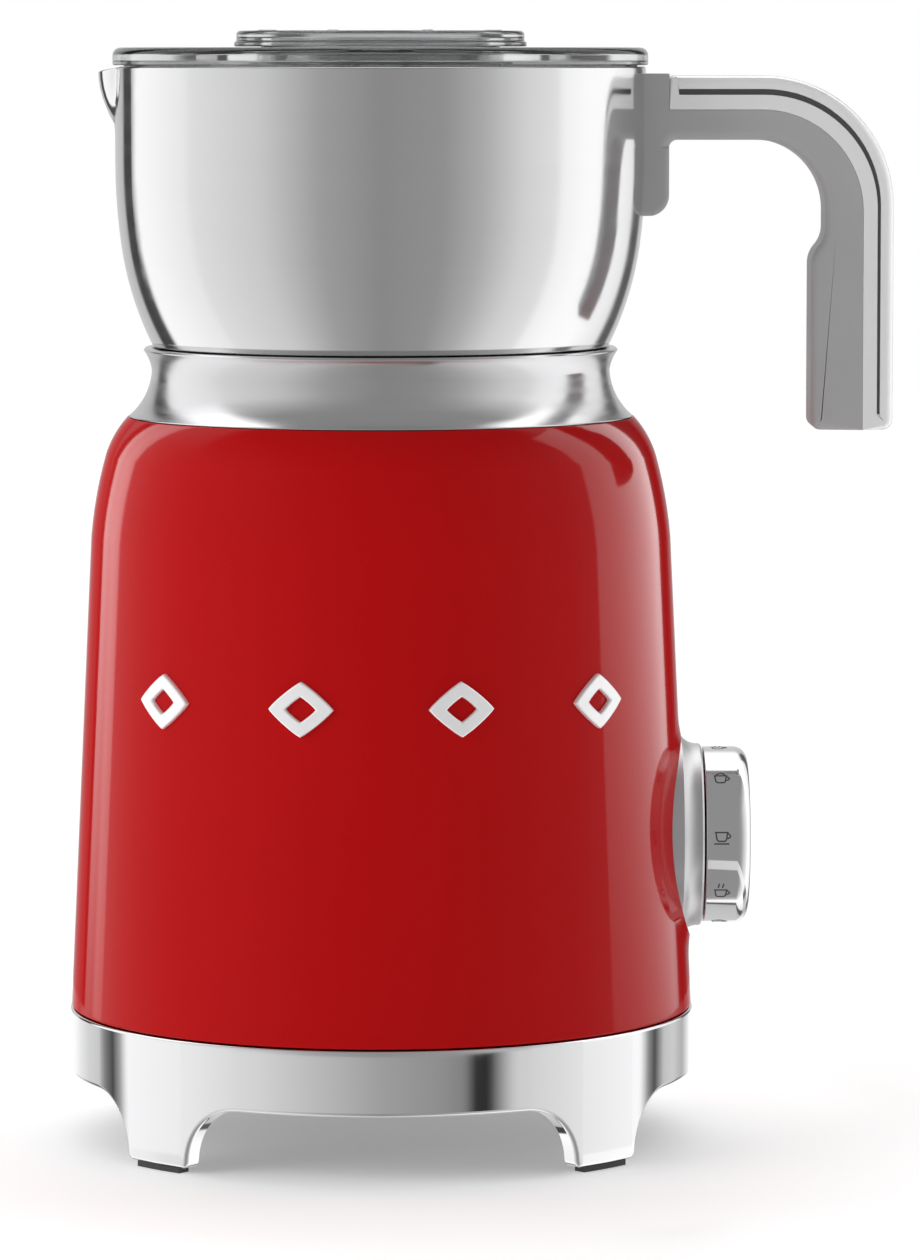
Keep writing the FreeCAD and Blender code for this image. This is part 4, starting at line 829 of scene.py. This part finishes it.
def buttonPiece():
    rows = lying(*turned(buttonShape, 10, False), extent("start_button")[0].x, knobHeight)
    stands(pieceOf("button_cap", [(rows, "open")], "button_face", 35), "button", "start_button")


markShape = {
    "cup": [(-1.25, 0.35), (-1.1, -0.75), (-0.7, -1.35, 0.7), (0.45, -1.35), (0.85, -0.75, 0.7),
            (1.0, 0.35)],
    "brim": [(-1.45, 0.35), (1.2, 0.35)],
    "ear": [(1.0, 0.1), (1.6, -0.35, -0.75), (0.9, -0.75, -0.6)],
    "saucer": [(-1.6, -1.85), (1.35, -1.85)],
    "steam": [(0.0, 0.85), (0.0, 1.35, -0.4), (0.0, 1.85, 0.4)],
    "foam": [(-0.95, 0.35), (-0.15, 0.95, -0.75), (0.75, 0.35, -0.7)],
    "kinds": ("saucer", "foam", "steam"), "steamShifts": (-0.55, 0.3), "stroke": 0.28, "rise": 0.03,
    "sink": -0.05, "count": 9, "first": 7.0, "middle": 14.9, "size": 1.12,
}


def markPiece():    # cups of three kinds around the rim of the dial
    shape = markShape
    radius = knobHigh.z - knobHeight
    grids = []
    for n in range(shape["count"]):
        turn = math.radians(shape["first"] + 360 / shape["count"] * n)

        def onRim(across, up, out, turn=turn):
            a = turn + up * shape["size"] / radius
            return (knobLow.x + shape["middle"] + across * shape["size"], -(radius + out) * math.cos(a),
                    knobHeight + (radius + out) * math.sin(a))

        for stroke in ("cup", "brim", "ear", shape["kinds"][n % len(shape["kinds"])]):
            for shift in (shape["steamShifts"] if stroke == "steam" else (0.0,)):
                line = [(x + shift, y) for x, y in lineOf(shape[stroke], 18)]
                grids.append(ribbon(line, shape["stroke"], shape["sink"], shape["rise"], onRim))
    stands(pieceOf("dial_marks", grids, "print", 40), "knob", slot="black_plastic")


platePiece()
dialPiece()
buttonPiece()
markPiece()
print("knob ready")


# raised ornaments: four silver lozenges with open middles; section is (inset, rise) from root to face
badgeShape = {
    "halfWide": 7.0, "halfTall": 5.8, "holeWide": 3.2, "holeTall": 2.6, "tallShare": 0.83,
    "section": [(0.0, -0.4), (0.0, 0.55), (0.12, 0.82), (0.45, 1.0)], "power": 1.12, "around": 72,
    "places": (-45, -15, 15, 45),
}


def lozenge(halfWide, halfTall, power, count):    # points of a rhombus with slightly rounded corners
    points = []
    for a in evenTurn(count):
        across, up = abs(math.cos(a)) / halfWide, abs(math.sin(a)) / halfTall
        reach = 1 / (across ** power + up ** power) ** (1 / power)
        points.append((reach * math.cos(a), reach * math.sin(a)))
    return points


def badgePiece():
    shape = badgeShape
    height = middleOf("front_badges")
    steps = [("half", inset, rise) for inset, rise in shape["section"]]
    steps += [("hole", -inset, rise) for inset, rise in shape["section"][::-1]]
    grids = []
    for degrees in shape["places"]:
        rows = []
        for kind, inset, rise in steps:
            wide, tall = shape[kind + "Wide"] - inset, shape[kind + "Tall"] - inset * shape["tallShare"]
            line = lozenge(wide, tall, shape["power"], shape["around"])
            row = []
            for across, up in line:
                radius = shellRadius(height + up)
                a, reach = math.radians(degrees) + across / radius, radius + rise
                row.append((reach * math.sin(a), -reach * math.cos(a), height + up))
            rows.append(row)
        grids.append((rows, "closed"))
    stands(pieceOf("ornaments", grids, "silver_trim", 28), "base", "front_badges")


badgePiece()
print("ornaments ready")


# whisk spring and heating coil, wound from wire
whiskShape = {"major": 20.3, "coil": 1.2, "wire": 0.3, "turns": 58, "steps": 12, "sides": 6}
coilShape = {"inner": 32.95, "outer": 43.05, "turns": 6, "wire": 0.88, "steps": 48, "sides": 8,
             "layers": (0.9, 2.7)}


def tubeRows(path, radius, sides):
    rows = []
    side = None
    for n, point in enumerate(path):
        along = (path[min(n + 1, len(path) - 1)] - path[max(n - 1, 0)]).normalized()
        side = (along.orthogonal() if side is None else side - along * side.dot(along)).normalized()
        other = along.cross(side)
        rows.append([point + (side * math.cos(a) + other * math.sin(a)) * radius for a in evenTurn(sides)])
    return rows


def whiskPiece():
    shape = whiskShape
    middle = middleOf("whisk_ring")
    total = shape["turns"] * shape["steps"]
    path = []
    for n in range(total + 1):
        around, coil = 2 * math.pi * n / total, 2 * math.pi * n / shape["steps"]
        reach = shape["major"] + shape["coil"] * math.cos(coil)
        height = middle + shape["coil"] * math.sin(coil)
        path.append(Vector((reach * math.cos(around), reach * math.sin(around), height)))
    rows = tubeRows(path, shape["wire"], shape["sides"])
    stands(pieceOf("whisk_spring", [(rows, "capped")], "stainless", 60), "whisk", "whisk_ring")


def coilPiece():
    shape = coilShape
    low = extent("induction_coil")[0].z
    total = shape["turns"] * shape["steps"]
    grids = []
    for layer in shape["layers"]:
        path = []
        for n in range(total + 1):
            reach = shape["inner"] + (shape["outer"] - shape["inner"]) * n / total
            a = 2 * math.pi * n / shape["steps"]
            path.append(Vector((reach * math.cos(a), reach * math.sin(a), low + layer)))
        grids.append((tubeRows(path, shape["wire"], shape["sides"]), "capped"))
    stands(pieceOf("coil_winding", grids, "copper", 60), "base", "induction_coil")


whiskPiece()
coilPiece()
print("wire parts ready")


# every CAD node that stays gets its slot's finish
for node, part in frame["nodes"].items():
    part.data.materials.clear()
    part.data.materials.append(finish[slotOf[node]])
print("CAD nodes finished:", len(frame["nodes"]))


# studio: white floor, a ring of soft cards as the surroundings, bright behind and dim in front
studio = {
    "around": [(-180, 0.7), (-150, 0.6), (-148, 0.07), (-136, 0.07), (-133, 1.25), (-115, 1.18),
               (-94, 1.05), (-90, 0.95), (-54, 0.75), (-26, 0.43), (0, 0.32), (27, 0.36), (45, 0.52),
               (65, 0.82), (82, 0.95), (86, 1.15), (100, 1.26), (118, 1.28), (142, 1.0), (147, 0.12),
               (157, 0.12), (161, 0.6)],
    "peak": 2.0, "front": 0.32, "back": 2.0, "edgeTilt": 0.18, "edgeSoft": 0.05, "blend": (0.5, 0.85),
    "ringCards": [(-180, 1.1), (-125, 1.1), (-108, 0.78), (-100, 0.68), (-95, 0.25), (-90, 0.08),
                  (-86, 0.4), (-82, 1.15), (-77, 1.15), (-53, 0.98), (-34, 0.8), (-17, 0.6), (0, 0.42),
                  (16, 0.33), (22, 0.27), (25, 0.04), (29, 0.03), (33, 0.4), (36, 0.74), (52, 0.88),
                  (68, 1.05), (84, 1.2), (89, 0.3), (93, 0.08), (99, 0.6), (107, 0.72), (117, 0.5),
                  (129, 1.1)],
    "ringRadius": 128, "ringLow": -9, "ringHigh": 19, "ringSteps": 180,
    "strips": [(-138, -121, 3.4), (90, 139, 4.0)], "stripRadius": 600, "stripLow": -300, "stripHigh": 800,
    "stripSteps": 12, "stripFade": (-0.07, 0.12), "stripDim": 0.12,
    "keyTurn": -63, "keyRise": 22, "keyAway": 1.6, "keyAim": 0.1, "keySize": 1.2, "keyPower": 9.5,
    "floorSize": 6.0, "floorColour": (0.92, 0.92, 0.92), "floorRough": 0.6, "floorGlow": 0.25,
    "lens": 176.4, "viewPlace": (0.0, -1.339, 0.2352), "viewTilt": -5.33, "viewTurn": -0.735,
}


def cameraView():
    camera = objectOf("camera", bpy.data.cameras.new("camera"))
    camera.data.lens = studio["lens"]
    camera.location = studio["viewPlace"]
    camera.rotation_euler = (math.radians(90 + studio["viewTilt"]), 0.0, math.radians(studio["viewTurn"]))
    bpy.context.scene.camera = camera


def mathOf(tree, operation, first, second):
    node = tree.nodes.new("ShaderNodeMath")
    node.operation = operation
    for socket, value in zip(node.inputs, (first, second)):
        if isinstance(value, (int, float)):
            socket.default_value = value
        else:
            tree.links.new(value, socket)
    return node.outputs[0]


def blendOf(tree, share, first, second):    # from the first level to the second as share goes from 0 to 1
    rest = mathOf(tree, "MULTIPLY", first, mathOf(tree, "SUBTRACT", 1.0, share))
    return mathOf(tree, "ADD", mathOf(tree, "MULTIPLY", second, share), rest)


def turnRamp(tree, vector, around, peak):    # level by azimuth, counted from the front towards the handle
    turn = tree.nodes.new("ShaderNodeTexGradient")
    turn.gradient_type = "RADIAL"
    tree.links.new(vector, turn.inputs["Vector"])
    ramp = tree.nodes.new("ShaderNodeValToRGB")
    tree.links.new(turn.outputs["Fac"], ramp.inputs["Fac"])
    stops = sorted(((0.25 + degrees / 360) % 1.0, value) for degrees, value in around)
    before, after = stops[-1], stops[0]
    share = (1 - before[0]) / (1 - before[0] + after[0])
    seam = before[1] + (after[1] - before[1]) * share
    stops = [(0.0, seam)] + stops + [(1.0, seam)]
    elements = ramp.color_ramp.elements
    while len(elements) < len(stops):
        elements.new(0.5)
    for element, (place, value) in zip(elements, stops):
        element.position = place
        element.color = (value / peak,) * 3 + (1,)
    return mathOf(tree, "MULTIPLY", ramp.outputs["Color"], peak)


def surroundings():
    world = bpy.data.worlds.new("studio")
    bpy.context.scene.world = world
    world.use_nodes = True
    tree = world.node_tree
    tree.nodes.clear()
    way = tree.nodes.new("ShaderNodeTexCoord").outputs["Generated"]
    level = turnRamp(tree, way, studio["around"], studio["peak"])
    parts = tree.nodes.new("ShaderNodeSeparateXYZ")
    tree.links.new(way, parts.inputs["Vector"])
    lean = mathOf(tree, "MULTIPLY", parts.outputs["Z"], studio["edgeTilt"])
    tilt = mathOf(tree, "SUBTRACT", parts.outputs["Y"], lean)
    soft = studio["edgeSoft"]
    above = rangeOf(tree, tilt, -soft, soft, studio["front"], studio["back"])
    rise = rangeOf(tree, parts.outputs["Z"], *studio["blend"], 0.0, 1.0)
    seen = tree.nodes.new("ShaderNodeLightPath").outputs["Is Camera Ray"]
    light = blendOf(tree, seen, blendOf(tree, rise, level, above), 1.0)
    shade = tree.nodes.new("ShaderNodeBackground")
    shade.inputs["Color"].default_value = (1, 1, 1, 1)
    tree.links.new(light, shade.inputs["Strength"])
    out = tree.nodes.new("ShaderNodeOutputWorld")
    tree.links.new(shade.outputs["Background"], out.inputs["Surface"])


def cardPiece(name, first, last, radius, low, high, steps):    # an upright curved card that only gloss sees
    points = []
    for n in range(steps + 1):
        a = math.radians(first + (last - first) * n / steps)
        points += [Vector((radius * math.sin(a), -radius * math.cos(a), z)) * mm for z in (low, high)]
    faces = [(2 * n, 2 * n + 2, 2 * n + 3, 2 * n + 1) for n in range(steps)]
    mesh = bpy.data.meshes.new(name)
    mesh.from_pydata(points, [], faces)
    card = objectOf(name, mesh)
    card.visible_camera = card.visible_diffuse = card.visible_transmission = card.visible_shadow = False
    material = bpy.data.materials.new(name)
    material.use_nodes = True
    material.node_tree.nodes.clear()
    mesh.materials.append(material)
    return card, material.node_tree


def ringCards():    # what the foot ring mirrors
    tree = cardPiece("ring_cards", -180, 180, studio["ringRadius"], studio["ringLow"],
                     studio["ringHigh"], studio["ringSteps"])[1]
    place = tree.nodes.new("ShaderNodeTexCoord").outputs["Object"]
    glow = tree.nodes.new("ShaderNodeEmission")
    tree.links.new(turnRamp(tree, place, studio["ringCards"], studio["peak"]), glow.inputs["Strength"])
    tree.links.new(glow.outputs["Emission"], tree.nodes.new("ShaderNodeOutputMaterial").inputs["Surface"])


def shellStrips():    # two tall soft strips, seen only in the red lacquer, dimmer towards the floor
    lacquer = bpy.data.collections.new("lacquer")
    for piece in redPieces:
        lacquer.objects.link(piece)
    for n, (first, last, power) in enumerate(studio["strips"]):
        card, tree = cardPiece(f"strip_{n}", first, last, studio["stripRadius"], studio["stripLow"],
                               studio["stripHigh"], studio["stripSteps"])
        place = tree.nodes.new("ShaderNodeTexCoord")
        parts = tree.nodes.new("ShaderNodeSeparateXYZ")
        tree.links.new(place.outputs["Object"], parts.inputs["Vector"])
        glow = tree.nodes.new("ShaderNodeEmission")
        fade = rangeOf(tree, parts.outputs["Z"], *studio["stripFade"], studio["stripDim"] * power, power)
        tree.links.new(fade, glow.inputs["Strength"])
        both = tree.nodes.new("ShaderNodeAddShader")
        tree.links.new(tree.nodes.new("ShaderNodeBsdfTransparent").outputs[0], both.inputs[0])
        tree.links.new(glow.outputs["Emission"], both.inputs[1])
        tree.links.new(both.outputs[0], tree.nodes.new("ShaderNodeOutputMaterial").inputs["Surface"])
        card.light_linking.receiver_collection = lacquer


def keyLight():    # wide soft light from the left front
    light = bpy.data.lights.new("key", "AREA")
    light.shape, light.size, light.energy = "DISK", studio["keySize"], studio["keyPower"]
    key = objectOf("key", light)
    turn, rise = math.radians(studio["keyTurn"]), math.radians(studio["keyRise"])
    way = Vector((math.sin(turn) * math.cos(rise), -math.cos(turn) * math.cos(rise), math.sin(rise)))
    key.location = way * studio["keyAway"] + Vector((0, 0, studio["keyAim"]))
    key.rotation_euler = way.to_track_quat("Z", "Y").to_euler()
    key.visible_glossy = False


def floorPiece():
    half = studio["floorSize"] / 2
    mesh = bpy.data.meshes.new("floor")
    corners = [(-half, -half, 0), (half, -half, 0), (half, half, 0), (-half, half, 0)]
    mesh.from_pydata(corners, [], [(0, 1, 2, 3)])
    floor = objectOf("floor", mesh)
    material = bpy.data.materials.new("floor")
    material.use_nodes = True
    shader = material.node_tree.nodes["Principled BSDF"]
    shader.inputs["Base Color"].default_value = (*studio["floorColour"], 1)
    shader.inputs["Roughness"].default_value = studio["floorRough"]
    shader.inputs["Emission Color"].default_value = (1, 1, 1, 1)
    shader.inputs["Emission Strength"].default_value = studio["floorGlow"]
    mesh.materials.append(material)
    floor.visible_glossy = False    # gloss sees the soft cards all the way down


cameraView()
surroundings()
floorPiece()
ringCards()
shellStrips()
keyLight()
bpy.context.scene.view_settings.view_transform = "Standard"
print("studio ready")
